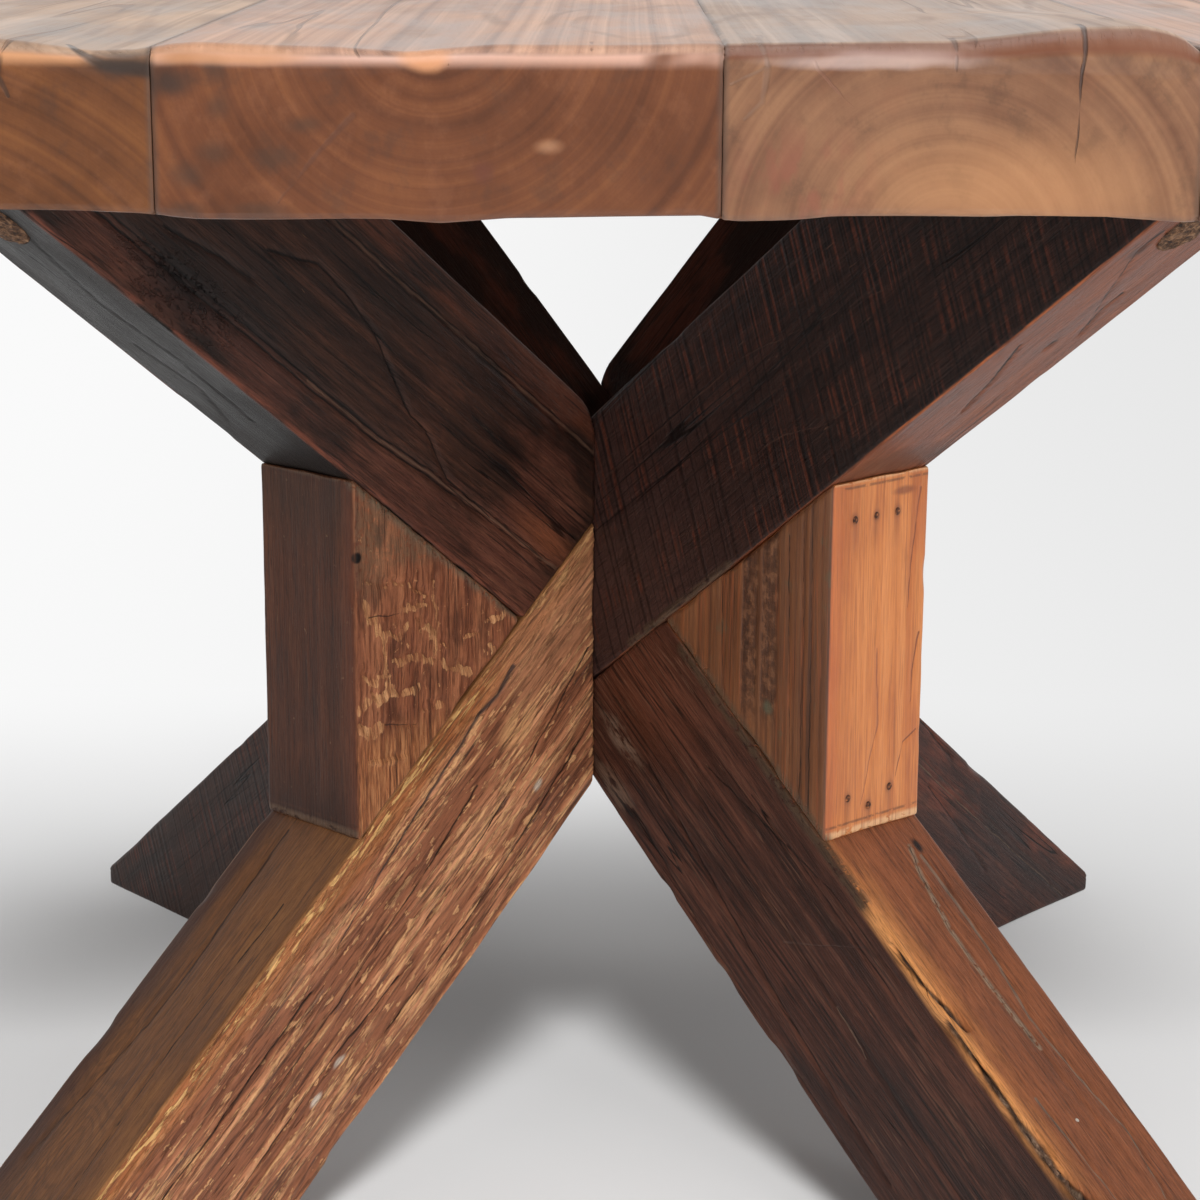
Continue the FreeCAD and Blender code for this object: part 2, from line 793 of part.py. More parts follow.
def make_fasteners(arms, leg_tenon, arm_tenon):
    """Tenons, dowels, rods, screws, fillings and nails."""
    made = [
        group("front_right_leg_tenon", [loose_tenon("leg_tenon", *leg_tenon)]),
        group("back_left_arm_tenon", [loose_tenon("arm_tenon", *arm_tenon)]),
    ]
    for corner in ("front_left", "back_right"):
        made.append(group(f"{corner}_arm_dowels", seam_dowels(corner)))
    for corner in BEARINGS:
        both = [*block_dowels(corner, "arm"), *block_dowels(corner, "leg")]
        made.append(group(f"{corner}_block_dowels", both))
    ends = [
        (level, corner) for level in ("lower", "upper") for corner in ("front_left", "back_right")
    ]
    washers = [washer(f"{level}_{corner}_washer", on_rod(level, corner)) for level, corner in ends]
    nuts = [
        nut(f"{level}_{corner}_nut", on_rod(level, corner, "Sizes.washer_thickness"))
        for level, corner in ends
    ]
    lag_washers = [
        washer(f"{corner}_lag_washer", at_lag(corner, "Layout.lag_head_top"))
        for corner in BEARINGS
    ]
    made += [
        group("lower_tie_rod", [tie_rod("lower")]),
        group("upper_tie_rod", [tie_rod("upper")]),
        group("tie_rod_washers", washers),
        group("tie_rod_nuts", nuts),
        group("top_lag_screws", [lag_screw(corner) for corner in BEARINGS]),
        group("lag_screw_washers", lag_washers),
        group("lag_pocket_plugs", [pocket_plug(corner, arms[corner]) for corner in BEARINGS]),
        group(
            "front_right_block_nails",
            [nail(n, *spot) for n, spot in enumerate(nail_spots(), start=1)],
        ),
    ]
    return made


def check(pieces):
    """Stops if any object failed or any piece is not a sound solid."""
    for item in doc.Objects:
        if "Invalid" in item.State or "Error" in item.State:
            raise RuntimeError(f"{item.Label}: {item.State}")
    for piece in pieces:
        shape = piece.Shape
        if shape.isNull() or not shape.isValid() or not shape.Solids:
            raise RuntimeError(f"{piece.Label}: not a sound solid")


def export(pieces):
    """Writes each piece to its own file."""
    os.makedirs("parts", exist_ok=True)
    for piece in pieces:
        piece.Shape.exportStep(f"parts/{piece.Label}.step")
        solids = len(piece.Shape.Solids)
        print(f"{piece.Label}: {solids} solid(s), {piece.Shape.Volume / 1000:.1f} cm3")


sizes = fill_sheet("Sizes", SIZES)
fill_sheet("Layout", LAYOUT, lead="=")
doc.recompute()
lag_holes = {corner: lag_hole(corner) for corner in BEARINGS}
pieces = make_top(list(lag_holes.values())) + make_pedestal(lag_holes)
doc.recompute()
check(pieces)
export(pieces)
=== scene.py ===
"""Looks of the plank-top table on its X-shaped pedestal of old squared beams.

Every piece of wood is carved from its own planes: a rectilinear grid gives the skin, the arrises are
worn round, and a relief cuts what the years and the tools left. Each piece has its own frame with x
along the grain, kept on its vertices, so its wood is one solid pattern, end grain included.
Lengths are in metres in formulas, and in millimetres where marks, grids, wear and splits are placed.
"""

import itertools
import json
import math

import bpy
import numpy as np
from mathutils import Matrix, Vector

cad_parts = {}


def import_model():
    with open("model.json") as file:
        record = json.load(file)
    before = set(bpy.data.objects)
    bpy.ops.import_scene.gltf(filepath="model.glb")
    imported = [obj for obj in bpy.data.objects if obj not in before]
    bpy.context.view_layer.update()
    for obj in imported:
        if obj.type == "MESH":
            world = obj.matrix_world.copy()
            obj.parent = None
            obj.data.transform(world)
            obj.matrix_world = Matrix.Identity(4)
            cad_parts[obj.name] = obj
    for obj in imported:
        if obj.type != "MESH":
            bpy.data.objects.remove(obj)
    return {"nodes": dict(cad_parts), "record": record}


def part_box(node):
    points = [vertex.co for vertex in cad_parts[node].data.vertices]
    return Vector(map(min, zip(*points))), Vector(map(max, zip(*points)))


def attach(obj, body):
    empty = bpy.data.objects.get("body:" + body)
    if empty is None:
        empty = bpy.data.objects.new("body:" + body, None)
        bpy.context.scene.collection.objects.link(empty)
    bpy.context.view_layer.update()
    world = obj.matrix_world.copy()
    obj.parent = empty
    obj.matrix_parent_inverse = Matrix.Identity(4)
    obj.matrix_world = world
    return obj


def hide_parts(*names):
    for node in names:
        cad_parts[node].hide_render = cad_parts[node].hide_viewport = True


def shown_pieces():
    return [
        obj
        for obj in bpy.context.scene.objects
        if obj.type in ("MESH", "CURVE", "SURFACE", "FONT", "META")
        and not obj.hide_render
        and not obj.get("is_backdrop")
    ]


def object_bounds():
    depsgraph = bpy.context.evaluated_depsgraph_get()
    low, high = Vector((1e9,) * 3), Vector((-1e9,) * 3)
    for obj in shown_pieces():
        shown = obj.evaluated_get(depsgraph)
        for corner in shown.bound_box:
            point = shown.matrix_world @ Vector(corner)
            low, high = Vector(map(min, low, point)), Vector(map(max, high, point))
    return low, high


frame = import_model()
cad_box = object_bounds()

MM = 0.001

# Driving sizes of the pedestal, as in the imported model.
SPREAD = math.radians(42)
REACH = 0.550
NOSE = 0.014
DEPTH = 0.136
THICKNESS = 0.082
HUB_CORNER = 0.045
BLOCK_REACH = 0.252
LAG_REACH = 0.463
POCKET_RADIUS = 0.018

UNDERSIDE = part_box("top_plank_4")[0].z
HALF_LENGTH = cad_box[1].y
HUB = UNDERSIDE / 2
SLOPE = math.atan2(HUB - NOSE, REACH) + math.asin(DEPTH / 2 / math.hypot(REACH, HUB - NOSE))
RISE = math.tan(SLOPE)
HALF_CUT = DEPTH / 2 / math.cos(SLOPE)
HUB_TOP = HUB + HALF_CUT
HUB_BOTTOM = HUB - HALF_CUT
APEX = HALF_CUT / RISE
HEEL = HUB_BOTTOM / RISE
BLOCK_TOP = HUB_BOTTOM + BLOCK_REACH * RISE
BLOCK_FOOT = HUB_TOP - BLOCK_REACH * RISE
CROSSING = 2 * SPREAD
BUTT_NEAR = THICKNESS * (0.5 - math.cos(CROSSING)) / math.sin(CROSSING)
BUTT_FAR = THICKNESS * (0.5 + math.cos(CROSSING)) / math.sin(CROSSING)

BEARING = {
    "front_right": SPREAD - math.pi / 2,
    "front_left": -SPREAD - math.pi / 2,
    "back_left": SPREAD + math.pi / 2,
    "back_right": math.pi / 2 - SPREAD,
}
ARM = Matrix.Translation((0, 0, HUB)) @ Matrix.Rotation(-SLOPE, 4, "Y")
LEG = Matrix.Translation((0, 0, HUB)) @ Matrix.Rotation(SLOPE, 4, "Y")
UPRIGHT = Matrix(((0, 1, 0, 0), (0, 0, 1, 0), (1, 0, 0, 0), (0, 0, 0, 1)))

ARM_TIP = ((REACH, UNDERSIDE - NOSE), (REACH, UNDERSIDE), (HEEL, UNDERSIDE))
LEG_TIP = ((REACH, NOSE), (REACH, 0), (HEEL, 0))


def mm(*values):
    """Millimetres as metres, for a number, a point or a run of points."""
    made = tuple(mm(*v) if isinstance(v, (tuple, list)) else v * MM for v in values)
    return made[0] if len(made) == 1 and not isinstance(values[0], (tuple, list)) else made


# Noise and distance, worked out on arrays of points.


def hashed(cell, seed):
    """A number from -1 to 1 for each lattice cell."""
    mixed = cell[..., 0] * 73856093 ^ cell[..., 1] * 19349663 ^ cell[..., 2] * 83492791
    mixed = (mixed ^ (seed * 2654435761)) & 0xFFFFFFFF
    mixed = ((mixed ^ (mixed >> 15)) * 2246822519) & 0xFFFFFFFF
    mixed = ((mixed ^ (mixed >> 13)) * 3266489917) & 0xFFFFFFFF
    return (mixed ^ (mixed >> 16)) / 2147483647.5 - 1


def noise(points, scale, seed, octaves=1):
    """Smooth noise from about -1 to 1; scale is cells per metre along each axis."""
    total = 0
    for octave in range(octaves):
        at = points * (np.array(scale, float) * 2**octave)
        cell = np.floor(at).astype(np.int64)
        part = at - cell
        part = part * part * (3 - 2 * part)
        for corner in itertools.product((0, 1), repeat=3):
            share = np.prod(np.where(corner, part, 1 - part), axis=-1)
            total = total + share * hashed(cell + np.array(corner), seed + octave) / 2**octave
    return total


def fade(value, low, high):
    """0 at low, 1 at high, smooth between."""
    share = np.clip((value - low) / (high - low), 0, 1)
    return share * share * (3 - 2 * share)


def stroke(points, ends):
    """Distance from each point to a run of straight lines given in millimetres."""
    best = np.full(points.shape[:-1], 9.0)
    ends = mm(*ends)
    for start, end in zip(ends[:-1], ends[1:]):
        start, run = np.array(start), np.array(end) - np.array(start)
        share = np.clip((points - start) @ run / (run @ run), 0, 1)
        gap = np.linalg.norm(points - start - share[..., None] * run, axis=-1)
        best = np.minimum(best, gap)
    return best


def unsteady(points):
    """Points a little astray, so that lines drawn by them look torn and not ruled."""
    drift = np.stack([noise(points, (120, 120, 120), 300 + axis, 3) for axis in range(3)], -1)
    return points + drift * 0.5 * MM


def toward(normals, axis, side):
    """1 on the faces that look along one of the piece's axes."""
    return fade(normals[:, axis] * side, 0.5, 0.9)


# Forms: convex pieces given by outward planes in their own frame.


CRISP_RADIUS = 0.3 * MM


def joined(first, second, radius):
    """The distance to what two distances share, their arris rounded."""
    a, b = first + radius, second + radius
    return np.hypot(np.maximum(a, 0), np.maximum(b, 0)) + np.minimum(np.maximum(a, b), 0) - radius


class Form:
    """A slab with an outline of (reach, height) in a bay, and a thickness across it. The bay turns
    about +Z by the bearing; grain takes the piece's own frame to the bay."""

    def __init__(self, bearing, grain, outline, thickness):
        self.place = Matrix.Rotation(bearing, 4, "Z") @ grain
        self.turn = np.array(grain.to_3x3())
        self.shift = np.array(grain.translation)
        points = np.array(outline)
        middle = points.mean(0)
        self.planes = []
        for start, end in zip(points, np.roll(points, -1, axis=0)):
            edge = end - start
            normal = np.array((edge[1], -edge[0])) / np.hypot(*edge)
            offset = normal @ start
            if normal @ middle > offset:
                normal, offset = -normal, -offset
            self.cut((normal[0], 0, normal[1]), offset)
        for side in (-1, 1):
            self.cut((0, side, 0), thickness / 2)
        corners = [
            self.turn.T @ (np.array((reach, side * thickness / 2, height)) - self.shift)
            for reach, height in outline
            for side in (-1, 1)
        ]
        self.low, self.high = np.min(corners, 0), np.max(corners, 0)
        self.round_pair = None
        self.crisp = ()

    def cut(self, normal, offset):
        """Keeps what lies behind a plane given in the bay."""
        normal = np.array(normal, float)
        self.planes.append((self.turn.T @ normal, offset - normal @ self.shift))

    def gaps(self, points):
        """Signed distance to each plane, negative inside."""
        return np.stack([points @ normal - offset for normal, offset in self.planes], -1)

    def distance(self, points, radius):
        """Signed distance to the piece with its arrises rounded."""
        most = np.full(points.shape[:-1], -9.0)
        beyond = np.zeros(points.shape[:-1])
        for number, (normal, offset) in enumerate(self.planes):
            if number in self.crisp:
                continue
            gap = points @ normal - offset + radius
            most = np.maximum(most, gap)
            beyond += np.maximum(gap, 0) ** 2
        found = np.sqrt(beyond) + np.minimum(most, 0) - radius
        for number in self.crisp:
            normal, offset = self.planes[number]
            found = joined(found, points @ normal - offset, CRISP_RADIUS)
        if self.round_pair:
            found = np.maximum(found, self.corner_distance(points, *self.round_pair))
        return found

    def corner_distance(self, points, first, second, radius):
        """Distance to the large round that joins two of the planes."""
        (normal_a, offset_a), (normal_b, offset_b) = self.planes[first], self.planes[second]
        a = points @ normal_a - offset_a + radius
        b = points @ normal_b - offset_b + radius
        k = normal_a @ normal_b
        inside = (a - k * b > 0) & (b - k * a > 0)
        span = np.sqrt(np.maximum(a * a + b * b - 2 * k * a * b, 0) / (1 - k * k))
        return np.where(inside, span, np.maximum(a, b)) - radius


def form_of(node):
    """A timber's form; the frame from front left to back right is split at the hub."""
    corner, _, kind = node.rpartition("_")
    if kind == "block":
        return block(corner)
    if kind == "diagonal":
        return through_diagonal()
    return {"arm": arm, "leg": leg}[kind](corner, corner in ("front_left", "back_right"))


def through_diagonal():
    """Front-right arm and back-left leg in one beam."""
    far_tip = ((-REACH, NOSE), (-REACH, 0), (-HEEL, 0))
    return Form(BEARING["front_right"], ARM, (*ARM_TIP, *far_tip), THICKNESS)


def leg(corner, split):
    """A leg up to the hub; in the split frame it runs on to the through frame's face."""
    top = (0, HUB_TOP) if split else (APEX, HUB)
    form = Form(BEARING[corner], LEG, ((0, HUB_BOTTOM), top, *LEG_TIP), THICKNESS)
    if split:
        butt(form)
    return form


def arm(corner, split):
    """An arm from the hub up; in the split frame its inner corner is rounded."""
    form = Form(BEARING[corner], ARM, ((0, HUB_TOP), (APEX, HUB), *ARM_TIP), THICKNESS)
    if split:
        butt(form)
        upper_plane, butt_plane = 4, len(form.planes) - 1
        form.round_pair = (upper_plane, butt_plane, HUB_CORNER)
    return form


def butt(form):
    """Ends a piece of the split frame on the through frame's face."""
    normal = np.array((-2 * THICKNESS, BUTT_FAR - BUTT_NEAR, 0))
    normal /= np.linalg.norm(normal)
    form.cut(normal, normal @ (BUTT_NEAR, -THICKNESS, 0))


def block(corner):
    """The wedge between an arm and a leg."""
    outline = ((APEX, HUB), (BLOCK_REACH, BLOCK_FOOT), (BLOCK_REACH, BLOCK_TOP))
    return Form(BEARING[corner], UPRIGHT, outline, THICKNESS)


def plank(number):
    """A plank with hairline gaps; its long arrises stay crisp where it meets its neighbours."""
    low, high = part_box(f"top_plank_{number}")
    gap = 0.02 * MM
    left, right = low.x + gap, high.x - gap
    outline = ((left, low.z), (right, low.z), (right, high.z), (left, high.z))
    middle = (low.x + high.x) / 2
    grain = Matrix(((0, -1, 0, middle), (1, 0, 0, 0), (0, 0, 1, low.z), (0, 0, 0, 1)))
    form = Form(0, grain, outline, high.y - low.y)
    right_side, left_side = 1, 3
    form.crisp = {1: (right_side,), 7: (left_side,)}.get(number, (right_side, left_side))
    return form


# Meshes.


def ticks(low, high, spacing):
    """Grid lines from just below low to just above high, spaced as a function of place says."""
    lines = [low - 1.5 * spacing(low)]
    while lines[-1] < high + spacing(high):
        lines.append(lines[-1] + spacing(lines[-1]))
    return np.array(lines)


def graded(coarse, fine, margin, *bands):
    """Grid spacing that is fine near both ends of a range and follows bands of (from, to, spacing)
    inside it; all in millimetres."""
    coarse, fine, margin, bands = mm(coarse, fine, margin, bands)

    def for_range(low, high):
        def spacing(place):
            for start, stop, step in bands:
                if start <= place <= stop:
                    return step
            return fine if min(place - low, high - place) < margin else coarse

        return ticks(low, high, spacing)

    return for_range


def skin(axes, distance):
    """Cell centres and quads where a distance changes sign on a rectilinear grid."""
    grid = np.stack(np.meshgrid(*axes, indexing="ij"), -1)
    inside = distance(grid) < 0
    size = np.array(inside.shape)
    corners = [
        inside[tuple(slice(o, n - 1 + o) for o, n in zip(offset, size))]
        for offset in itertools.product((0, 1), repeat=3)
    ]
    mixed = np.logical_or.reduce(corners) & ~np.logical_and.reduce(corners)
    index = np.full(mixed.shape, -1)
    index[mixed] = np.arange(mixed.sum())
    centres = [(axis[:-1] + axis[1:]) / 2 for axis in axes]
    points = np.stack(np.meshgrid(*centres, indexing="ij"), -1)[mixed]
    quads = []
    for axis in range(3):
        u, v = (axis + 1) % 3, (axis + 2) % 3
        lower = np.take(inside, range(size[axis] - 1), axis)
        upper = np.take(inside, range(1, size[axis]), axis)
        crossing = np.argwhere(lower != upper)
        leaving = lower[tuple(crossing.T)]
        ring = []
        for back_u, back_v in ((1, 1), (0, 1), (0, 0), (1, 0)):
            cell = crossing.copy()
            cell[:, u] -= back_u
            cell[:, v] -= back_v
            ring.append(index[tuple(cell.T)])
        quad = np.stack(ring, -1)
        quad[~leaving] = quad[~leaving][:, ::-1]
        quads.append(quad)
    return points, np.concatenate(quads)


def slope_of(distance, points):
    """Gradient of a distance by central differences."""
    reach = 0.05 * MM
    steps = np.eye(3) * reach
    return np.stack([(distance(points + s) - distance(points - s)) / (2 * reach) for s in steps], -1)


def settle(points, distance):
    """Points moved onto the surface where distance is 0."""
    for _ in range(5):
        slope = slope_of(distance, points)
        points = points - slope * (distance(points) / (slope**2).sum(-1))[:, None]
    return points


def carve(name, form, axes, wear, *reliefs):
    """The mesh object of a form: worn arrises, then reliefs cut along its normals."""
    lines = [spacing(low, high) for low, high, spacing in zip(form.low, form.high, axes)]
    points, quads = skin(lines, lambda at: form.distance(at, wear.mean))
    points = settle(points, lambda at: form.distance(at, wear.mean))
    radius = wear.radius(points)
    points = settle(points, lambda at: form.distance(at, radius))
    normals = slope_of(lambda at: form.distance(at, radius), points)
    normals /= np.linalg.norm(normals, axis=-1)[:, None]
    depth = np.zeros(len(points))
    mark = np.zeros(len(points))
    for relief in reliefs:
        cut, drawn = relief(points, normals)
        depth += cut
        mark = np.maximum(mark, drawn)
    edge = -np.sort(form.gaps(points), -1)[:, -2]
    layers = {"wood": points, "torn": unsteady(points), "facing": normals, "edge": edge, "mark": mark}
    return build(name, points - normals * depth[:, None], quads, form.place, layers)


def build(name, points, quads, place, layers):
    """A mesh object in the row frame; layers are values kept on its vertices."""
    place = np.array(place)
    points = points @ place[:3, :3].T + place[:3, 3]
    mesh = bpy.data.meshes.new(name)
    mesh.vertices.add(len(points))
    mesh.vertices.foreach_set("co", points.astype(np.float32).ravel())
    mesh.loops.add(quads.size)
    mesh.loops.foreach_set("vertex_index", quads.astype(np.int32).ravel())
    mesh.polygons.add(len(quads))
    mesh.polygons.foreach_set("loop_start", np.arange(0, quads.size, quads.shape[1], dtype=np.int32))
    mesh.update(calc_edges=True)
    mesh.shade_smooth()
    for label, values in layers.items():
        vector = values.ndim == 2
        layer = mesh.attributes.new(label, "FLOAT_VECTOR" if vector else "FLOAT", "POINT")
        layer.data.foreach_set("vector" if vector else "value", values.astype(np.float32).ravel())
    mesh.validate()
    item = bpy.data.objects.new(name, mesh)
    bpy.context.scene.collection.objects.link(item)
    return item


class Wear:
    """How far the arrises of a piece are worn, in millimetres: the mean radius, how much it varies,
    and how large the bites are."""

    def __init__(self, mean, spread, bites, seed):
        self.mean, self.spread, self.bites, self.seed = mean * MM, spread, bites * MM, seed

    def radius(self, points):
        slow = noise(points, (14, 14, 14), self.seed)
        quick = noise(points, (60, 60, 60), self.seed + 3)
        bitten = fade(noise(points, (30, 30, 30), self.seed + 5), 0.4, 0.8)
        return self.mean * (1 + self.spread * (0.7 * slow + 0.3 * quick)) + self.bites * bitten


def wavy(seed, height=0.5):
    """Gentle unevenness of an old hand-worked face, in millimetres."""

    def relief(points, normals):
        slow = noise(points, (5, 18, 18), seed)
        quick = noise(points, (20, 60, 60), seed + 1)
        return height * MM * (slow + 0.3 * quick), np.zeros(len(points))

    return relief


def cuts(runs):
    """Splits and grooves: each run is a width, a depth and its points, in millimetres."""

    def relief(points, normals):
        torn = unsteady(points)
        depth = np.zeros(len(points))
        for width, deep, *ends in runs:
            mask = 1 - fade(stroke(torn, ends), 0.2 * MM, max(1.4 * width, 2.2) * MM)
            depth = np.maximum(depth, mask * deep * MM)
        return depth, np.zeros(len(points))

    return relief


# Node wiring.


class Wire:
    """A socket of a node tree; arithmetic on it adds Math nodes."""

    def __init__(self, tree, socket):
        self.tree, self.socket = tree, socket

    def math(self, operation, *others, clamp=False):
        inputs = dict(enumerate((self, *others)))
        return add_node(self.tree, "Math", inputs, operation=operation, use_clamp=clamp)

    def vector(self, operation, other=None, result=0):
        inputs = {0: self} if other is None else {0: self, 1: other}
        return add_node(self.tree, "VectorMath", inputs, result, operation=operation)

    def __add__(self, other):
        return self.math("ADD", other)

    def __sub__(self, other):
        return self.math("SUBTRACT", other)

    def __mul__(self, other):
        return self.math("MULTIPLY", other)

    def __truediv__(self, other):
        return self.math("DIVIDE", other)

    def __neg__(self):
        return self.math("MULTIPLY", -1.0)

    def __abs__(self):
        return self.math("ABSOLUTE")

    __radd__ = __add__
    __rmul__ = __mul__

    def __rsub__(self, other):
        return -self + other

    def least(self, other):
        return self.math("MINIMUM", other)

    def most(self, other):
        return self.math("MAXIMUM", other)

    def fade(self, low, high):
        """0 at low, 1 at high, smooth between."""
        inputs = {"Value": self, "From Min": low, "From Max": high}
        return add_node(self.tree, "MapRange", inputs, interpolation_type="SMOOTHSTEP")

    def ramp(self, *stops):
        """Colour by place: stops are (place, colour)."""
        made = add_node(self.tree, "ValToRGB", {0: self})
        elements = made.socket.node.color_ramp.elements
        while len(elements) < len(stops):
            elements.new(1.0)
        for element, (place, colour) in zip(elements, stops):
            element.position = place
            element.color = shader_colour(colour)
        return made

    def mix(self, other, share, mode):
        """This colour blended towards another."""
        factor, first, second, mixed = 0, 6, 7, 2
        inputs = {factor: share, first: self, second: shader_colour(other)}
        return add_node(self.tree, "Mix", inputs, mixed, data_type="RGBA", blend_type=mode)


def add_node(tree, kind, inputs, output=0, **settings):
    """One output of a new shader node; inputs are values or wires by number or name."""
    node = tree.nodes.new("ShaderNode" + kind)
    for name, value in settings.items():
        setattr(node, name, value)
    for name, value in inputs.items():
        plug(value, node.inputs[name])
    return Wire(tree, node.outputs[output])


def plug(value, target):
    """Gives a socket a value or links it."""
    if isinstance(value, Wire):
        value.tree.links.new(value.socket, target)
    else:
        target.default_value = value


def shader_colour(colour):
    """A colour for a socket; three numbers are a colour as it looks on a screen, 0 to 255."""
    return tone(*colour) if isinstance(colour, tuple) and len(colour) == 3 else colour


def tone(red, green, blue):
    """A colour given as it looks on a screen, 0 to 255, for a shader."""
    linear = [
        c / 12.92 if c <= 0.04045 else ((c + 0.055) / 1.055) ** 2.4
        for c in (red / 255, green / 255, blue / 255)
    ]
    return (*linear, 1.0)


class Shade:
    """A procedural material in the piece's own coordinates."""

    def __init__(self, name, roughness=0.5, coat=0.0, coat_roughness=0.3, specular=0.35, carved=True):
        self.material = bpy.data.materials.new(name)
        self.material.use_nodes = True
        self.tree = self.material.node_tree
        self.shader = self.tree.nodes["Principled BSDF"]
        self.shader.inputs["Coat Weight"].default_value = coat
        self.shader.inputs["Coat Roughness"].default_value = coat_roughness
        self.shader.inputs["Specular IOR Level"].default_value = specular
        self.roughness = roughness
        self.gloss = None
        if carved:
            self.at = self.attribute("wood", "Vector")
            self.facing = self.parts(self.attribute("facing", "Vector"))
            self.edge = self.attribute("edge")
            self.mark = self.attribute("mark")
        else:
            self.at = add_node(self.tree, "TexCoord", {}, "Object")
        self.x, self.y, self.z = self.parts(self.at)
        self.colour = None
        self.height = None

    def attribute(self, label, output="Fac"):
        return add_node(self.tree, "Attribute", {}, output, attribute_name=label)

    def parts(self, vector):
        first = add_node(self.tree, "SeparateXYZ", {0: vector})
        return [Wire(self.tree, output) for output in first.socket.node.outputs]

    def moved(self, scale, seed, at=None):
        """Coordinates times a scale, in a region of their own for each seed."""
        shift = (seed * 7.31, seed * 3.17, seed * 5.73)
        return (at or self.at).vector("MULTIPLY", scale).vector("ADD", shift)

    def noise(self, scale, seed=0.0, detail=2.0, rough=0.5, at=None, output=0):
        """Noise with so many cells per metre along each axis."""
        inputs = {"Scale": 1.0, "Detail": detail, "Roughness": rough, "Vector": self.moved(scale, seed, at)}
        return add_node(self.tree, "TexNoise", inputs, output)

    def noise_line(self, value, seed, detail=3.0, rough=0.6):
        """Noise of a single number."""
        inputs = {"Scale": 1.0, "Detail": detail, "Roughness": rough, "W": value + seed * 11.7}
        return add_node(self.tree, "TexNoise", inputs, noise_dimensions="1D")

    def warped(self, amount, scale, seed):
        """Coordinates pushed about by noise, so far along each axis."""
        push = self.noise(scale, seed, output=1).vector("SUBTRACT", (0.5, 0.5, 0.5))
        return self.at.vector("ADD", push.vector("MULTIPLY", amount))

    def line(self, ends, width, taper=0.4):
        """Mask of a run of straight lines, in millimetres; its width shrinks to taper at the end."""
        found = None
        ends = mm(*ends)
        count = len(ends) - 1
        for number, (start, end) in enumerate(zip(ends[:-1], ends[1:])):
            run = Vector(end) - Vector(start)
            offset = self.wobbly().vector("SUBTRACT", start)
            share = offset.vector("DOT_PRODUCT", tuple(run / run.length_squared), result=1)
            share = share.math("ADD", 0.0, clamp=True)
            nearest = add_node(self.tree, "VectorMath", {0: run, "Scale": share}, operation="SCALE")
            gap = offset.vector("SUBTRACT", nearest).vector("LENGTH", result=1)
            gap = gap / ((share + float(number)) * ((taper - 1.0) / count) + 1.0)
            found = gap if found is None else found.least(gap)
        return found.fade(width * MM, width * 0.3 * MM)

    def wobbly(self):
        """Coordinates a little unsteady, so that drawn lines look torn and not ruled."""
        if not hasattr(self, "unsteady"):
            self.unsteady = self.attribute("torn", "Vector")
        return self.unsteady

    def spot(self, centre, radius, soft):
        """Mask of an oval patch, in millimetres; its rim is sharp at 0 and wide at 2."""
        radii = radius if isinstance(radius, tuple) else (radius,) * 3
        scale = tuple(1 / (r * MM) for r in radii)
        offset = self.wobbly().vector("SUBTRACT", mm(*centre)).vector("MULTIPLY", scale)
        return offset.vector("LENGTH", result=1).fade(1.0 + 0.5 * soft, 1.0 - 0.5 * soft)

    def patch(self, colour, centre, radius, share, soft=1.0):
        """An oval patch of another colour, in millimetres; its share may be a mask."""
        self.tint(colour, self.spot(centre, radius, soft) * share)

    def face(self, axis, side):
        """Mask of the faces that look along one of the piece's own axes."""
        return (self.facing[axis] * float(side)).fade(0.55, 0.8)

    def tint(self, colour, share, mode="MIX"):
        self.colour = self.colour.mix(colour, share, mode)

    def dig(self, depth):
        """Lowers the surface by a depth in metres."""
        self.height = -depth if self.height is None else self.height - depth

    def crack(self, ends, width, colour, share, depth, taper=0.4):
        """A drawn crack: a dark run of lines, in millimetres, that may be dug in."""
        mask = self.line(ends, width, taper)
        self.tint(colour, mask * share)
        if depth:
            self.dig(mask * (depth * MM))

    def crust(self, ends, width, colour, share=0.9, height=0.8, seed=31.0):
        """A raised rough band of old glue and dirt along a joint, in millimetres."""
        rough = self.noise((220, 220, 220), seed, 3.0, 0.7)
        mask = self.line(ends, width, 1.0) * rough.fade(0.34, 0.5)
        self.tint(colour, mask * share)
        self.dig(mask * (rough - 1.2) * (height * MM))

    def worn_edge(self, colour, width, share, where=None):
        """Arrises rubbed to another colour, broken up along their length."""
        broken = self.noise((25, 90, 90), 17.0, 3.0, 0.6).fade(0.36, 0.56)
        mask = self.edge.fade(width * MM, 0.2 * width * MM) * broken * share
        self.tint(colour, mask if where is None else mask * where)

    def wood(self, seed, tones, pith, ring, wander=10, weights=(0.3, 0.3, 0.4), fibre=480):
        """Solid wood: rings about a pith, fibres along the grain and slow clouds, as one figure."""
        self.warp = self.warped(mm(0.0, wander, wander), (2.5, 7, 7), seed)
        _, y, z = self.parts(self.warp)
        dy, dz = y - pith[0] * MM, z - pith[1] * MM
        radius = (dy * dy + dz * dz).math("SQRT")
        rings = self.noise_line(radius / (ring * MM), seed)
        fibres = self.noise((11, fibre, fibre), seed + 1, 3.0, 0.7, self.warp)
        clouds = self.noise((9, 26, 26), seed + 2, 5.0, 0.62, self.warp)
        self.figure = rings * weights[0] + fibres * weights[1] + clouds * weights[2]
        self.colour = self.toned(tones)
        self.dig((0.5 - fibres) * (0.4 * MM))
        self.gloss = clouds

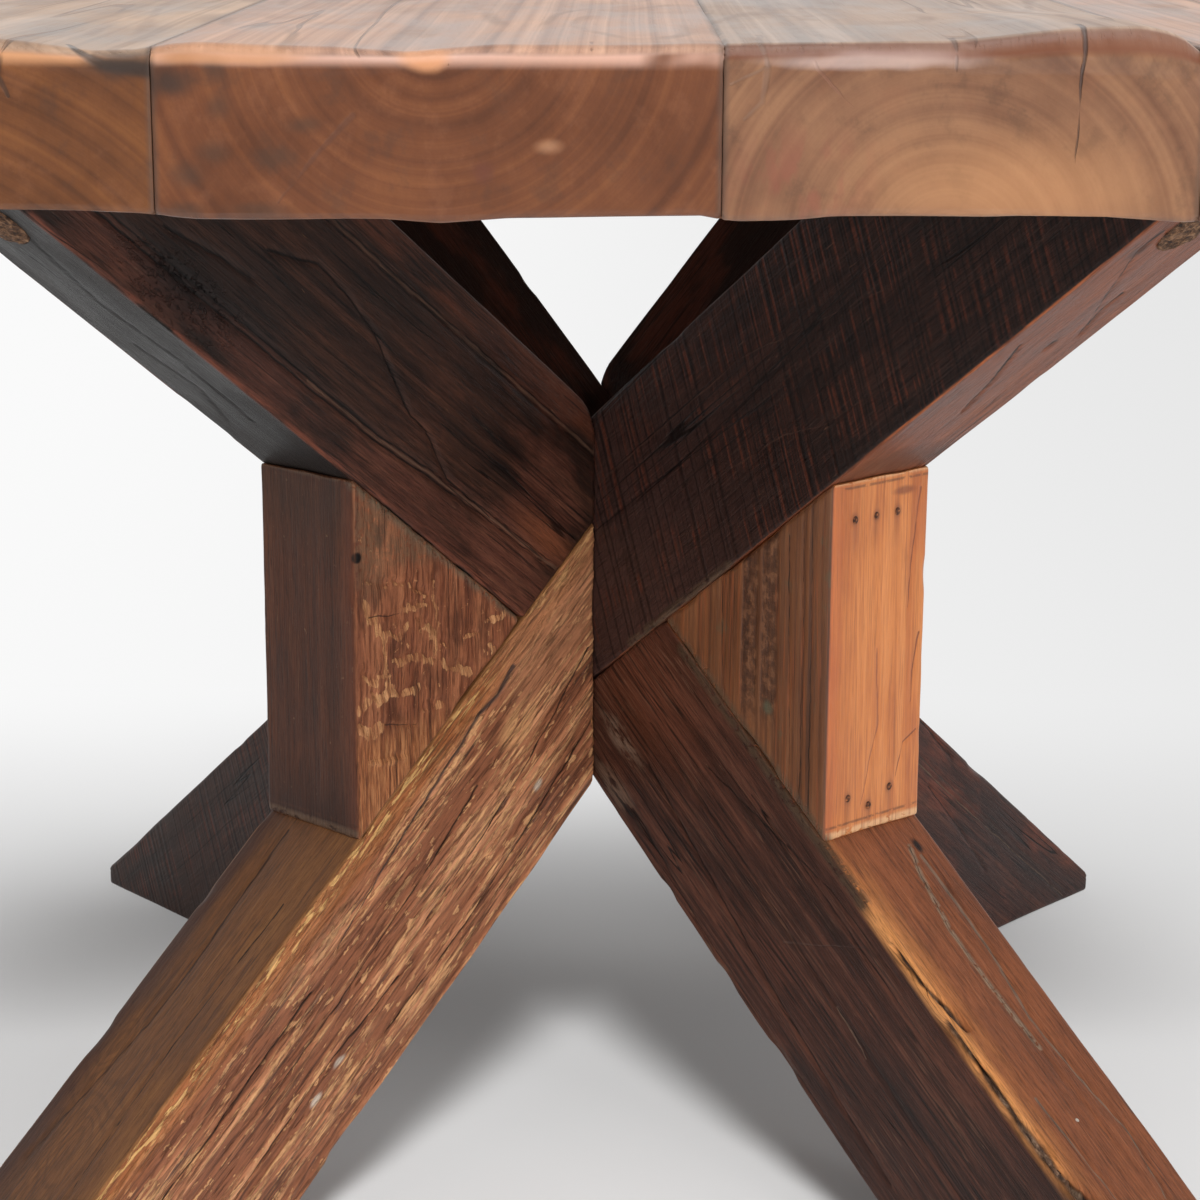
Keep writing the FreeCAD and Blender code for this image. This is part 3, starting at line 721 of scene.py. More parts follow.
    def fine(self, seed, depth, darkest=0.5, scale=(75, 900, 900)):
        """Fine torn fibres and dust over the whole surface; called once the colours are in."""
        fibre = self.noise(scale, seed, 3.0, 0.75, self.warp)
        low, mid = (darkest,) * 3 + (1.0,), ((1 + darkest) / 2 + 0.1,) * 3 + (1.0,)
        self.tint(fibre.ramp((0.34, low), (0.5, mid), (0.62, (1.0, 1.0, 1.0, 1.0))), 1.0, "MULTIPLY")
        self.dig((0.6 - fibre) * (depth * MM))

    def flecks(self, seed, colour, scale, low, high, share, where=None, depth=0.0):
        """Small torn spots, where fine noise rises over a level."""
        mask = self.noise(scale, seed, 3.0, 0.65, self.warp).fade(low, high)
        if where is not None:
            mask = mask * where
        self.tint(colour, mask * share)
        if depth:
            self.dig(mask * (depth * MM))

    def pores(self, seed, colour, share=0.5, depth=0.15, where=None):
        """The short dark ends of vessels that sawing opens, all over or where told."""
        self.flecks(seed, colour, (35, 800, 800), 0.56, 0.68, share, where, depth)

    def split(self, node, colours=None):
        """The cracks that SPLITS lists for a node; colours are given for some of them by number."""
        groups = {}
        for number, (width, _, *ends) in enumerate(splits(node)):
            colour = (colours or {}).get(number, BLACK)
            mask = self.line(ends, width)
            groups[colour] = mask.most(groups[colour]) if colour in groups else mask
        for colour, mask in groups.items():
            self.tint(colour, mask * 0.9)

    def threads(self, seed, colour, share, scale=(4, 190, 190), width=0.03, where=None):
        """Thin straight lines along the grain, broken up."""
        ridge = abs(self.noise(scale, seed, 2.0, 0.6, self.warp) - 0.5)
        mask = ridge.fade(width, width * 0.3) * self.noise((10, 50, 50), seed + 0.5, 2.0).fade(0.44, 0.56)
        self.tint(colour, mask * share if where is None else mask * where * share)

    def toned(self, tones):
        """The figure in another run of tones, dark to light."""
        places = np.linspace(0.37, 0.63, len(tones)).tolist()
        return self.figure.ramp(*zip(places, tones))

    def checks(self, seed, colour, scale, width, share=0.9, depth=0.8, low=0.5, sides=None):
        """Long thin cracks along the grain, broken up by slow noise."""
        ridge = abs(self.noise(scale, seed, 2.0, 0.5, self.warp) - 0.5)
        mask = ridge.fade(width, width * 0.3) * self.noise((3, 14, 14), seed + 4, 1.0).fade(low, low + 0.06)
        if sides is not None:
            mask = mask * sides
        self.tint(colour, mask * share)
        self.dig(mask * (depth * MM))

    def finish(self):
        plug(self.colour, self.shader.inputs["Base Color"])
        if self.gloss is None:
            self.shader.inputs["Roughness"].default_value = self.roughness
        else:
            plug(self.gloss.fade(0.3, 0.7) * 0.2 + (self.roughness - 0.1), self.shader.inputs["Roughness"])
        if self.height is not None:
            bump = add_node(self.tree, "Bump", {"Distance": 1.0, "Height": self.height})
            plug(bump, self.shader.inputs["Normal"])
        return self.material


BLACK = (16, 11, 10)

# Splits and planed lines on each timber, in millimetres. A face is the axis that it looks along and its
# level there; on it, each run has a width, a depth, and points given by the two other coordinates.
SPLITS = {
    "through_diagonal": {
        ("y", -41): (
            (0.8, 0.3, (79, 30), (244, 29), (364, 1.5)),
            (0.8, 0.3, (196, -20), (248, -26), (278, -37), (333, -42)),
            (0.7, 0.3, (40, 8), (190, 4), (420, 14), (600, 30)),
        ),
        ("z", -68): (
            (1.6, 1.2, (416, -23), (376, -6), (338, 3)),
            (1.4, 1.0, (464, 16), (449, 15), (418, 25)),
            (2.0, 1.0, (415, 9), (406, 8)),
            (0.9, 0.6, (512, -23), (465, 1), (424, 24)),
            (1.4, 1.0, (532, -22), (513, -23)),
        ),
    },
    "front_left_arm": {
        ("y", 41): (
            (1.0, 1.2, (560, 39.6), (300, 41.6), (90, 44.6)),
            (1.0, 1.2, (560, 43.6), (300, 45.2), (90, 48.2)),
            (1.2, 1.5, (560, -43), (260, -41), (220, -37), (152, -33), (80, -30.5)),
            (1.0, 1.2, (560, -39), (260, -37), (220, -33), (152, -29), (80, -27)),
            (1.5, 1.2, (467, -25), (424, -17), (399, -15)),
            (1.5, 1.4, (398, 4), (362, 18), (337, 16), (301, 9), (283, 0)),
            (1.3, 1.2, (283, 0), (248, -15), (232, -16), (199, -30), (152, -31)),
        ),
        ("z", -68): (
            (1.0, 0.6, (533, 16), (450, 1), (394, 12), (326, 9)),
            (0.9, 0.5, (404, -17), (358, -5), (318, -20)),
        ),
    },
    "front_left_leg": {
        ("z", 68): (
            (1.3, 1.0, (274, -16), (307, -15), (382, -11), (417, -12), (520, -27)),
            (0.9, 0.6, (320, 20), (420, 16), (560, 22)),
        ),
        ("y", 41): (
            (3.0, 2.2, (112, 50), (132, 46), (150, 49), (169, 47)),
            (2.0, 2.0, (169, 47), (185, 46), (222, 43), (258, 39), (319, 30)),
            (1.2, 1.2, (60, 8), (106, -4), (177, -12), (262, -16)),
            (1.2, 1.2, (180, 14), (240, 8), (340, 2), (420, 3)),
            (1.4, 1.4, (40, -30), (122, -38), (242, -47), (330, -44)),
            (1.2, 1.2, (300, -26), (380, -20), (500, -22), (580, -18)),
            (1.4, 1.4, (350, 26), (450, 24), (600, 30)),
        ),
    },
    "front_right_leg": {
        ("y", -41): (
            (1.0, 1.0, (136, -18), (268, -36), (342, -43), (436, -50)),
            (0.9, 0.8, (207, 42), (361, 43)),
            (0.9, 0.8, (170, 24), (287, 50), (358, 53)),
            (0.8, 0.6, (120, 5), (260, 2), (420, -6), (540, -8)),
            (0.7, 0.5, (60, -40), (230, -62), (420, -64)),
        ),
        ("z", 68): (
            (0.6, 0.6, (284, 19), (305, 12), (346, 5), (387, 5), (430, 8), (520, 12)),
            (1.7, 0.8, (292, 23), (362, 23), (411, 16), (454, 20), (497, 27), (540, 20)),
            (1.5, 0.8, (457, -20), (528, -14)),
        ),
    },
    "back_right_leg": {
        ("y", -41): (
            (0.9, 0.5, (90, 43), (438, 38), (624, 39)),
            (0.9, 0.5, (90, 48), (438, 43), (624, 44)),
            (0.8, 0.7, (387, 31), (449, 22), (503, 11)),
            (1.2, 1.0, (300, 62), (343, 66), (400, 61)),
        ),
        ("y", 41): (
            (1.3, 1.0, (90, 46), (440, 41), (624, 42)),
        ),
    },
    "back_left_arm": {
        ("y", 41): (
            (1.4, 1.2, (120, 22), (260, 12), (390, 16)),
        ),
        ("y", -41): (
            (1.2, 1.0, (300, -20), (420, -12), (560, -16)),
        ),
    },
    "back_right_arm": {
        ("y", 41): (
            (1.4, 1.2, (90, -12), (230, 2), (380, -4)),
        ),
        ("y", -41): (
            (1.2, 1.0, (280, 24), (430, 30), (560, 27)),
        ),
    },
    "front_right_block": {
        ("z", -41): (
            (0.8, 0.2, (262, 230), (350, 230), (455, 229)),
            (0.8, 0.2, (262, 237.5), (350, 237), (455, 236)),
            (0.7, 0.2, (391, 161), (326, 162.5)),
            (0.7, 0.2, (429, 217), (272, 221.5)),
        ),
        ("y", 252): (
            (1.2, 0.6, (453, 34), (428, 30), (405, 27), (381, 26)),
            (1.1, 0.5, (363, 36), (340, 31), (321, 31)),
            (1.0, 0.5, (359, 0), (312, 3), (289, -4), (263, -10)),
            (1.0, 0.5, (303, 36), (297, 25), (274, 19)),
        ),
    },
    "front_left_block": {
        ("z", 41): (
            (0.7, 0.8, (313, 228), (308, 203)),
            (0.7, 0.8, (381, 240), (379, 207)),
        ),
    },
    "back_left_block": {
        ("y", 252): (
            (1.2, 1.0, (440, 12), (380, 8), (310, 14)),
        ),
    },
    "back_right_block": {
        ("y", 252): (
            (1.2, 1.0, (420, -18), (350, -12), (280, -16)),
        ),
    },
}


def splits(node):
    """A timber's splits, each a width, a depth and its points in the timber's own frame."""
    return [
        (width, depth, *((x, level, other) if axis == "y" else (x, other, level) for x, other in points))
        for (axis, level), runs in SPLITS[node].items()
        for width, depth, *points in runs
    ]


# Beams.


def weathered(points, normals):
    """Ridges along the grain and torn-out hollows on the front-left leg's side; its mark is high on
    the ridges."""
    coarse = noise(points, (10, 120, 120), 45, 2)
    fine = noise(points, (22, 360, 360), 50, 2)
    height = 0.65 * coarse + 0.45 * fine
    side = toward(normals, 1, 1)
    return -height * 1.5 * MM * side, fade(height, -0.3, 0.9) * side


def saw_marked_beam():
    """Front-right arm and back-left leg in one timber: nearly black, with the saw's lines across."""
    shade = Shade("saw_marked_beam", 0.42, 0.06, 0.35, 0.16)
    shade.wood(1.0, [(24, 15, 13), (40, 25, 21), (60, 37, 30)], (-40, -160), ring=14)
    shade.pores(2.0, (12, 8, 7))
    sides = abs(shade.facing[1]).fade(0.5, 0.8)
    under = shade.face(2, -1) * shade.x.fade(0.0, 0.05)
    hub = abs(shade.x).fade(0.30, 0.05)
    # Painted light: the sides are made lighter towards the hub, where the top casts less shade.
    shade.tint((88, 62, 56), hub * sides * 0.5)
    shade.tint((98, 78, 70), shade.x.fade(-0.15, -0.35) * 0.22)
    salmon = shade.toned([(93, 50, 32), (127, 72, 48), (153, 93, 64)])
    phase = (shade.x - shade.z * 0.3 + (shade.noise((14, 14, 14), 3.0) - 0.5) * 0.004) / 0.0036
    cuts = shade.noise_line(phase, 4.0, 1.0, 0.5)
    where = shade.noise((16, 40, 40), 6.0, 4.0, 0.6).fade(0.44, 0.60) * sides
    shade.tint((98, 50, 35), cuts.fade(0.5, 0.66) * where * 0.65)
    shade.tint((12, 8, 8), cuts.fade(0.46, 0.34) * sides * 0.6)
    shade.dig(cuts * sides * (0.5 * MM))
    shade.flecks(5.0, (120, 86, 66), (60, 60, 700), 0.68, 0.74, 0.5, sides)
    shade.tint(salmon, under)
    shade.worn_edge((104, 70, 54), 1.6, 0.6)
    shade.worn_edge((186, 104, 60), 3.0, 0.8, under * shade.x.fade(0.30, 0.33))
    shade.crust(((50, -41, -66), (160, -41, -67)), 4.5, (88, 70, 55), 0.8, 0.2)
    scratch = (72, 50, 42)
    shade.split("through_diagonal", {0: scratch, 1: scratch, 2: (10, 7, 7)})
    shade.patch((70, 42, 32), (513, -23, -68), (7, 5, 5), 0.8)
    shade.patch((90, 56, 42), (282, 5, -68), (16, 34, 8), 0.7)
    shade.threads(7.5, (62, 44, 38), 0.5, where=sides)
    shade.checks(7.0, BLACK, (1.6, 55, 55), 0.007, sides=1.0 - under * 0.5)
    shade.fine(8.0, 0.35)
    return shade.finish()


def grooved_arm():
    """Front-left arm: dark, with red-brown patches, two pairs of planed lines and a worn lower arris."""
    shade = Shade("grooved_arm", 0.42, 0.08, 0.35, 0.18)
    shade.wood(11.0, [(28, 19, 16), (52, 33, 26), (76, 47, 35)], (60, 190), ring=11)
    shade.pores(12.0, (14, 9, 8))
    near, under = shade.face(1, 1), shade.face(2, -1)
    red = shade.toned([(66, 37, 29), (92, 54, 42), (116, 72, 55)])
    # Red-brown patches near the hub, also made lighter there as painted light, where the top casts less
    # shade.
    hub = near * shade.x.fade(0.30, 0.08)
    shade.tint(red, hub * shade.noise((14, 30, 30), 14.0, 4.0, 0.6).fade(0.40, 0.58) * 0.85)
    lower = near * shade.z.fade(-0.036, -0.046)
    shade.tint(red, lower * shade.noise((9, 30, 30), 15.0, 4.0, 0.6).fade(0.36, 0.56) * 0.8)
    shade.patch((122, 70, 46), (100, 41, -18), (26, 12, 9), near * 0.7, 1.6)
    upper = near * shade.z.fade(0.048, 0.054)
    shade.tint((92, 52, 37), upper * shade.noise((12, 60, 60), 16.0, 3.0).fade(0.36, 0.56) * 0.75)
    # Painted shade: the underside is made near black, as the side turned away from the light.
    grey = shade.toned([(8, 5, 3), (15, 9, 6), (26, 17, 12)])
    shade.tint(grey, under * 0.95)
    shade.patch((18, 12, 11), (438, 41, -42), (34, 12, 14), 0.8, 1.6)
    pitted = shade.noise((170, 300, 300), 13.0, 3.0, 0.7).fade(0.52, 0.62)
    shade.dig(pitted * shade.spot((438, 41, -48), (40, 12, 16), 1.4) * (2.0 * MM))
    low_arris = near.most(under) * shade.z.fade(-0.059, -0.066)
    shade.worn_edge((124, 68, 50), 4.5, 0.8, low_arris)
    shade.worn_edge((104, 66, 48), 1.5, 0.6)
    for ends, share in (
        (((560, 41, 41.8), (300, 41, 43.6), (90, 41, 46.6)), 0.4),
        (((330, 41, -39), (260, 41, -39), (220, 41, -35), (152, 41, -31), (80, 41, -29)), 0.55),
    ):
        shade.crack(ends, 1.3, (108, 82, 66), share, 0.0, 1.0)
    shade.split("front_left_arm")
    lip = shade.edge.fade(0.002, 0.0) * shade.x.fade(0.03, 0.0)
    shade.tint((158, 96, 60), lip * 0.7)
    shade.flecks(19.0, (128, 98, 76), (60, 420, 420), 0.69, 0.75, 0.5, near)
    shade.threads(17.5, (18, 12, 11), 0.7)
    shade.checks(17.0, BLACK, (2.0, 75, 75), 0.006, 0.8, low=0.53)
    shade.fine(18.0, 0.45, 0.5)
    return shade.finish()


def rough_leg():
    """Front-left leg: a torn, weathered side with golden fibres, and a smooth olive-brown top."""
    shade = Shade("rough_leg", 0.55, specular=0.3)
    shade.wood(21.0, [(92, 54, 36), (140, 86, 56), (176, 118, 80)], (20, -130), ring=9)
    near, top = shade.face(1, 1), shade.face(2, 1)
    broad = shade.noise((9, 80, 80), 23.0, 4.0, 0.6, shade.warp)
    torn = broad * 0.5 + shade.mark * 0.5
    side = torn.ramp(
        (0.26, (142, 88, 61)), (0.42, (171, 111, 78)), (0.56, (195, 131, 93)), (0.74, (215, 153, 111)),
    )
    shade.tint(side, near)
    shade.flecks(22.0, (94, 56, 42), (22, 420, 420), 0.54, 0.61, 0.6, near, 1.0)
    shade.flecks(28.0, (88, 70, 66), (12, 200, 200), 0.61, 0.66, 0.6, near, 0.6)
    raised = near * shade.mark.fade(0.0, 0.4)
    shade.flecks(24.0, (228, 172, 120), (44, 330, 330), 0.515, 0.565, 0.75, raised, -0.9)
    shade.flecks(24.4, (222, 166, 116), (70, 210, 210), 0.585, 0.62, 0.8, near, -0.6)
    for x, z, radius in ((364, -26, (5, 4, 1.8)), (391, -29, (5, 4, 1.8)), (146, -27, (4, 4, 2.4))):
        shade.patch((214, 198, 180), (x, 41, z), radius, 0.8)
    burst = shade.noise((50, 300, 300), 25.5, 3.0).fade(0.38, 0.5)
    shade.patch((220, 164, 112), (132, 41, 18), (17, 10, 10), burst * 0.8)
    crusty = shade.noise((90, 90, 90), 25.0, 4.0, 0.7).fade(0.42, 0.56)
    shade.patch((150, 108, 80), (340, 41, 50), (46, 10, 12), crusty * near * 0.6, 1.2)
    shade.tint((168, 102, 58), near * shade.z.fade(0.046, 0.056) * 0.75)
    rim = near * shade.z.fade(0.054, 0.064)
    shade.flecks(25.8, (240, 190, 122), (50, 300, 300), 0.52, 0.58, 0.85, rim, -0.6)
    # Painted light: the near side is made lighter near the hub, against the shade that falls there.
    smooth = near * shade.x.fade(0.15, 0.10) * shade.z.fade(0.0, 0.03)
    shade.tint((186, 130, 94), smooth * 0.55)
    olive = shade.toned([(82, 52, 31), (117, 76, 45), (146, 101, 62)])
    shade.tint(olive, top)
    curl = abs((shade.noise((16, 30, 30), 26.0, 1.0, 0.5) * 14.0).math("FRACT") - 0.5)
    where = top * shade.x.fade(0.38, 0.43) * shade.y.fade(0.03, 0.0)
    shade.tint((84, 54, 34), curl.fade(0.3, 0.06) * where * 0.4)
    shade.tint((66, 42, 34), top * shade.y.fade(-0.020, -0.036) * 0.8)
    grey = (66, 54, 51)
    shade.split("front_left_leg", {0: (50, 32, 24), 2: grey, 3: grey})
    shade.threads(27.5, (74, 48, 38), 0.6)
    shade.worn_edge((200, 140, 88), 2.4, 0.6)
    shade.fine(29.0, 0.4, 0.6, (90, 800, 800))
    return shade.finish()


def amber_leg():
    """Front-right leg: black cracked side, orange-brown top with grey-filled cracks and a bark hollow."""
    shade = Shade("amber_leg", 0.45, 0.06, 0.4, 0.18)
    shade.wood(31.0, [(38, 22, 17), (68, 40, 31), (100, 62, 48)], (30, 150), ring=10)
    shade.pores(32.0, (16, 11, 10))
    near, top = shade.face(1, -1), shade.face(2, 1)
    amber = shade.toned([(110, 62, 38), (142, 84, 54), (164, 102, 68)])
    shade.tint(amber, top)
    # A golden band along the near upper arris of the top: partly the wood's colour, partly painted highlight.
    golden = top * shade.y.fade(-0.016, -0.036) * shade.x.fade(0.24, 0.3)
    shade.tint((206, 134, 78), golden * shade.noise((12, 60, 60), 33.0, 2.0).fade(0.28, 0.6) * 0.9)
    # A painted highlight on the rounded near upper arris.
    arris_highlight = shade.y.fade(-0.030, -0.041) * shade.z.fade(0.058, 0.064)
    shade.tint((236, 164, 100), arris_highlight * shade.x.fade(0.300, 0.325) * shade.x.fade(0.54, 0.46) * 0.85)
    shade.patch((116, 66, 46), (84, -41, 20), (60, 14, 36), near * 0.6, 1.6)
    torn = shade.noise((80, 200, 200), 34.0, 3.0).fade(0.42, 0.56)
    for x, z, radius in ((110, -26, (20, 6, 6)), (128, -55, (22, 6, 7)), (256, -70, (18, 6, 6))):
        shade.patch((120, 96, 80), (x, -41, z), radius, torn * near * 0.8, 1.2)
    shade.crack(((338, -41, -2), (373, -41, -6)), 1.4, (116, 94, 80), 0.7, 0.3)
    shade.crack(((285, -41, -8), (306, -41, 18), (327, -41, 47)), 1.2, (80, 58, 50), 0.6, 0.3)
    grey = (128, 108, 92)
    filled = ((284, 19, 68), (305, 12, 68), (346, 5, 68), (387, 5, 68), (430, 8, 68))
    shade.crust(filled, 2.8, (150, 126, 104), 0.95, seed=33.0)
    shade.split("front_right_leg", {5: (84, 64, 52), 6: grey, 7: grey})
    shade.crust(((110, -41, 66), (308, -41, 66)), 7.0, (84, 66, 50), 0.85)
    shade.patch(BLACK, (285, 25, 68), (5, 2.5, 2), 0.95)
    shade.patch((230, 222, 210), (478, -2, 68), 1.2, 1.0, 0.5)
    bark = shade.noise((90, 260, 260), 35.0, 4.0, 0.7)
    hollow = shade.mark.fade(0.25, 0.6)
    shade.tint(bark.ramp((0.36, (40, 30, 26)), (0.52, (104, 80, 64)), (0.66, (156, 128, 104))), hollow)
    shade.dig(bark * hollow * (2.5 * MM))
    shade.worn_edge((120, 80, 60), 1.8, 0.6)
    shade.threads(36.5, BLACK, 0.8, where=1.0 - top * 0.6)
    shade.threads(36.8, (122, 88, 70), 0.45, (5, 260, 260), 0.02, near)
    shade.checks(36.0, BLACK, (2.2, 60, 60), 0.006, 0.9, 1.0)
    shade.flecks(38.0, (122, 94, 76), (50, 420, 420), 0.68, 0.74, 0.55, near)
    torn = shade.noise((60, 160, 160), 39.0, 4.0, 0.7).fade(0.46, 0.54)
    shade.patch((122, 100, 84), (108, -41, -24), (20, 8, 7), torn * 0.75, 1.2)
    shade.fine(37.0, 0.45, 0.5)
    return shade.finish()


def bark_hollow(points, normals):
    """The bark's channel that runs along the front-right leg's arris."""
    channel = ((387, -47, 66), (429, -44, 67), (467, -43, 67), (498, -40, 68), (522, -34, 68), (580, -30, 68))
    slit = ((340, -44, 66), (363, -41, 66), (403, -33, 68))
    wander = 1 + 0.5 * noise(points, (40, 60, 60), 71, 2)
    wide = 1 - fade(stroke(points, channel) / wander, 3.5 * MM, 8.5 * MM)
    thin = 1 - fade(stroke(points, slit) / wander, 1.5 * MM, 4 * MM)
    mask = np.maximum(wide, 0.7 * thin)
    rough = 1 + 0.45 * noise(points, (120, 200, 200), 72, 2)
    return mask * rough * 6.5 * MM, mask


def dark_beam(node, seed):
    """The back frame's other timbers: smooth and very dark, with a little red in them."""
    shade = Shade(node, 0.42, 0.06, 0.35, 0.16)
    red = node == "back_right_leg"
    tones = [(40, 25, 22), (64, 39, 33), (92, 58, 46)] if red else [(30, 20, 17), (48, 30, 25), (68, 42, 33)]
    shade.wood(seed, tones, (50, -150), ring=15)
    shade.pores(seed + 1, (12, 8, 7))
    patches = shade.noise((9, 22, 22), seed + 2, 4.0, 0.6).fade(0.50, 0.62)
    shade.tint((104, 56, 42), patches * (0.8 if red else 0.55))
    shade.split(node, {0: (96, 78, 62), 1: (60, 46, 38), 4: (96, 78, 62)} if red else None)
    shade.worn_edge((96, 62, 48), 1.8, 0.6)
    shade.flecks(seed + 6, (120, 92, 74), (50, 420, 420), 0.70, 0.76, 0.5)
    shade.threads(seed + 4, BLACK, 0.7)
    shade.checks(seed + 3, BLACK, (1.8, 55, 55), 0.007)
    shade.fine(seed + 5, 0.4)
    return shade.finish()


# Blocks, whose x is height, y is reach and z is across the frame.


def honey_block():
    """Front-right block: bright, smooth outer face with nail stains; brown, grooved sides."""
    shade = Shade("honey_block", 0.4, 0.2, 0.3)
    shade.wood(41.0, [(172, 96, 48), (194, 119, 64), (210, 136, 80)], (120, -70), ring=7, fibre=420)
    shade.flecks(42.0, (150, 80, 44), (14, 700, 700), 0.54, 0.64, 0.35)
    outer = shade.face(1, 1)
    side = abs(shade.facing[2]).fade(0.55, 0.8)
    brown = shade.toned([(80, 48, 30), (112, 70, 44), (138, 92, 60)])
    shade.tint(brown, side)
    place = shade.y + (shade.noise((20, 20, 20), 43.5) - 0.5) * 0.004
    bands = shade.noise_line(place / 0.005, 43.0, 2.0)
    shade.tint((64, 40, 28), side * bands.fade(0.46, 0.62) * 0.4)
    shade.tint((140, 86, 50), side * bands.fade(0.48, 0.34) * 0.35)
    scales = shade.noise((150, 170, 170), 43.8, 3.0, 0.7)
    scaly = scales.ramp((0.42, (52, 34, 28)), (0.54, (92, 62, 44)), (0.62, (124, 86, 62)))
    for reach in (185, 202):
        stripe = abs(place - reach * MM).fade(0.0085, 0.005) * side * shade.x.fade(0.300, 0.325)
        shade.tint(scaly, stripe * 0.7)
        shade.dig((1.0 - scales) * stripe * (0.8 * MM))
    green = shade.noise((60, 60, 60), 44.0, 3.0).fade(0.64, 0.72)
    shade.tint((86, 84, 62), side * green * 0.35)
    shade.patch((78, 92, 74), (320, 202, -41), (4, 4, 4), 0.6)
    shade.tint((178, 92, 52), outer * shade.z.fade(-0.028, -0.040) * 0.5)
    streaks = shade.noise((9, 60, 60), 45.5, 3.0).fade(0.44, 0.6)
    shade.tint((166, 86, 52), outer * shade.z.fade(0.022, 0.036) * streaks * 0.5)
    for height, across in NAILS:
        shade.patch((132, 72, 44), (height - 5, 252, across), (12, 4, 2.2), outer * 0.5, 1.8)
        shade.patch((112, 64, 42), (height, 252, across), (3.2, 4, 2.8), 0.7, 1.6)
    rust = (112, 58, 38)
    shade.split("front_right_block", {4: rust, 5: rust, 6: (140, 78, 50), 7: rust})
    shade.patch((112, 58, 40), (453, 252, 20), (2.4, 4, 9), 0.7)
    joint_crust(shade, (214, 168, 124), outer, 45.0)
    shade.crust(((359, 113, -41), (466, 252, -41)), 2.2, (74, 54, 40))
    shade.crust(((353, 113, -41), (246, 252, -41)), 9.0, (86, 68, 50), seed=32.0)
    shade.worn_edge((156, 84, 54), 1.8, 0.6, outer)
    shade.worn_edge((146, 76, 62), 1.4, 0.7, side)
    shade.threads(46.0, (150, 82, 48), 0.5)
    shade.fine(47.0, 0.25, 0.78, (30, 900, 900))
    return shade.finish()


def joint_crust(shade, colour, outer, seed):
    """Splintered, glue-stained wood at the outer face's two ends."""
    rough = shade.noise((160, 120, 120), seed, 3.0, 0.7)
    upper = shade.x.fade(BLOCK_TOP - 0.004, BLOCK_TOP - 0.0015)
    lower = shade.x.fade(BLOCK_FOOT + 0.008, BLOCK_FOOT + 0.005)
    inner = abs(shade.x - BLOCK_FOOT - 0.0095).least(abs(shade.x - BLOCK_TOP + 0.0055))
    shade.tint((70, 42, 30), inner.fade(0.0013, 0.0003) * outer * rough.fade(0.4, 0.5) * 0.6)
    mask = upper.most(lower) * outer * rough.fade(0.34, 0.46)
    shade.tint(colour, mask * 0.9)
    shade.dig(mask * (rough - 1.0) * MM)


NAILS = ((441, -22), (441, -4), (441, 14), (271, -22), (263, -4), (271, 14))

# Torn edges of the flakes on the front-left block's side: half a width, then (height, reach) points.
FLAKES = (
    (0.9, (401, 239), (397, 225), (396, 210)),
    (1.2, (395, 208), (388, 198), (381, 189)),
    (2.4, (388, 241), (381, 239), (367, 233), (353, 228)),
    (2.2, (353, 228), (340, 225), (330, 225)),
    (1.8, (383, 215), (379, 207), (380, 196)),
    (2.0, (368, 230), (366, 221), (370, 210)),
    (1.6, (371, 202), (366, 195), (363, 190)),
    (2.2, (351, 219), (351, 206), (345, 190)),
    (1.6, (392, 187), (370, 186.5), (349, 188.5)),
    (1.4, (352, 183), (354, 173)),
    (2.0, (344, 183), (336, 175), (338, 167), (333, 158)),
    (1.3, (353, 161), (354, 152)),
    (2.4, (359, 140), (361, 130)),
    (1.8, (341, 140), (337, 132)),
    (2.2, (331, 225), (329, 210), (328, 196)),
    (2.6, (326, 251), (334, 240), (330, 232), (331, 225)),
    (1.6, (317, 196), (314, 181)),
    (2.4, (314, 253), (312, 243), (311, 232)),
    (1.6, (293, 238), (291, 225), (290, 214)),
    (1.4, (346, 246), (340, 236), (343, 228)),
)


def chipped(points, normals):
    """Adzed flakes on the front-left block's side; its mark is high on their torn edges."""
    torn = points + 6 * (unsteady(points) - points)
    above = torn - np.array((2.2 * MM, 0, 0))
    side = toward(normals, 2, 1)
    edge = np.zeros(len(points))
    step = np.zeros(len(points))
    for half, *run in FLAKES:
        ends = [(*place, 41) for place in run]
        edge = np.maximum(edge, 1 - fade(stroke(torn, ends), 0.2 * half * MM, 2.2 * half * MM))
        step = np.maximum(step, 1 - fade(stroke(above, ends), 0.5 * MM, 5.0 * MM))
    lumps = noise(points, (60, 60, 60), 84, 3)
    height, reach = points[:, 0], points[:, 1]
    where = side * fade(height, 0.28, 0.31) * (1 - fade(height, 0.40, 0.42)) * fade(reach, 0.12, 0.15)
    depth = (0.5 + 0.5 * lumps + 1.5 * step) * MM * where - edge * side * 1.2 * MM
    # The mark goes below 0 just above each torn edge, where chipped_block paints a shadow line.
    return depth, (edge - fade(step, 0.35, 0.9) * (1 - fade(edge, 0.0, 0.3))) * side


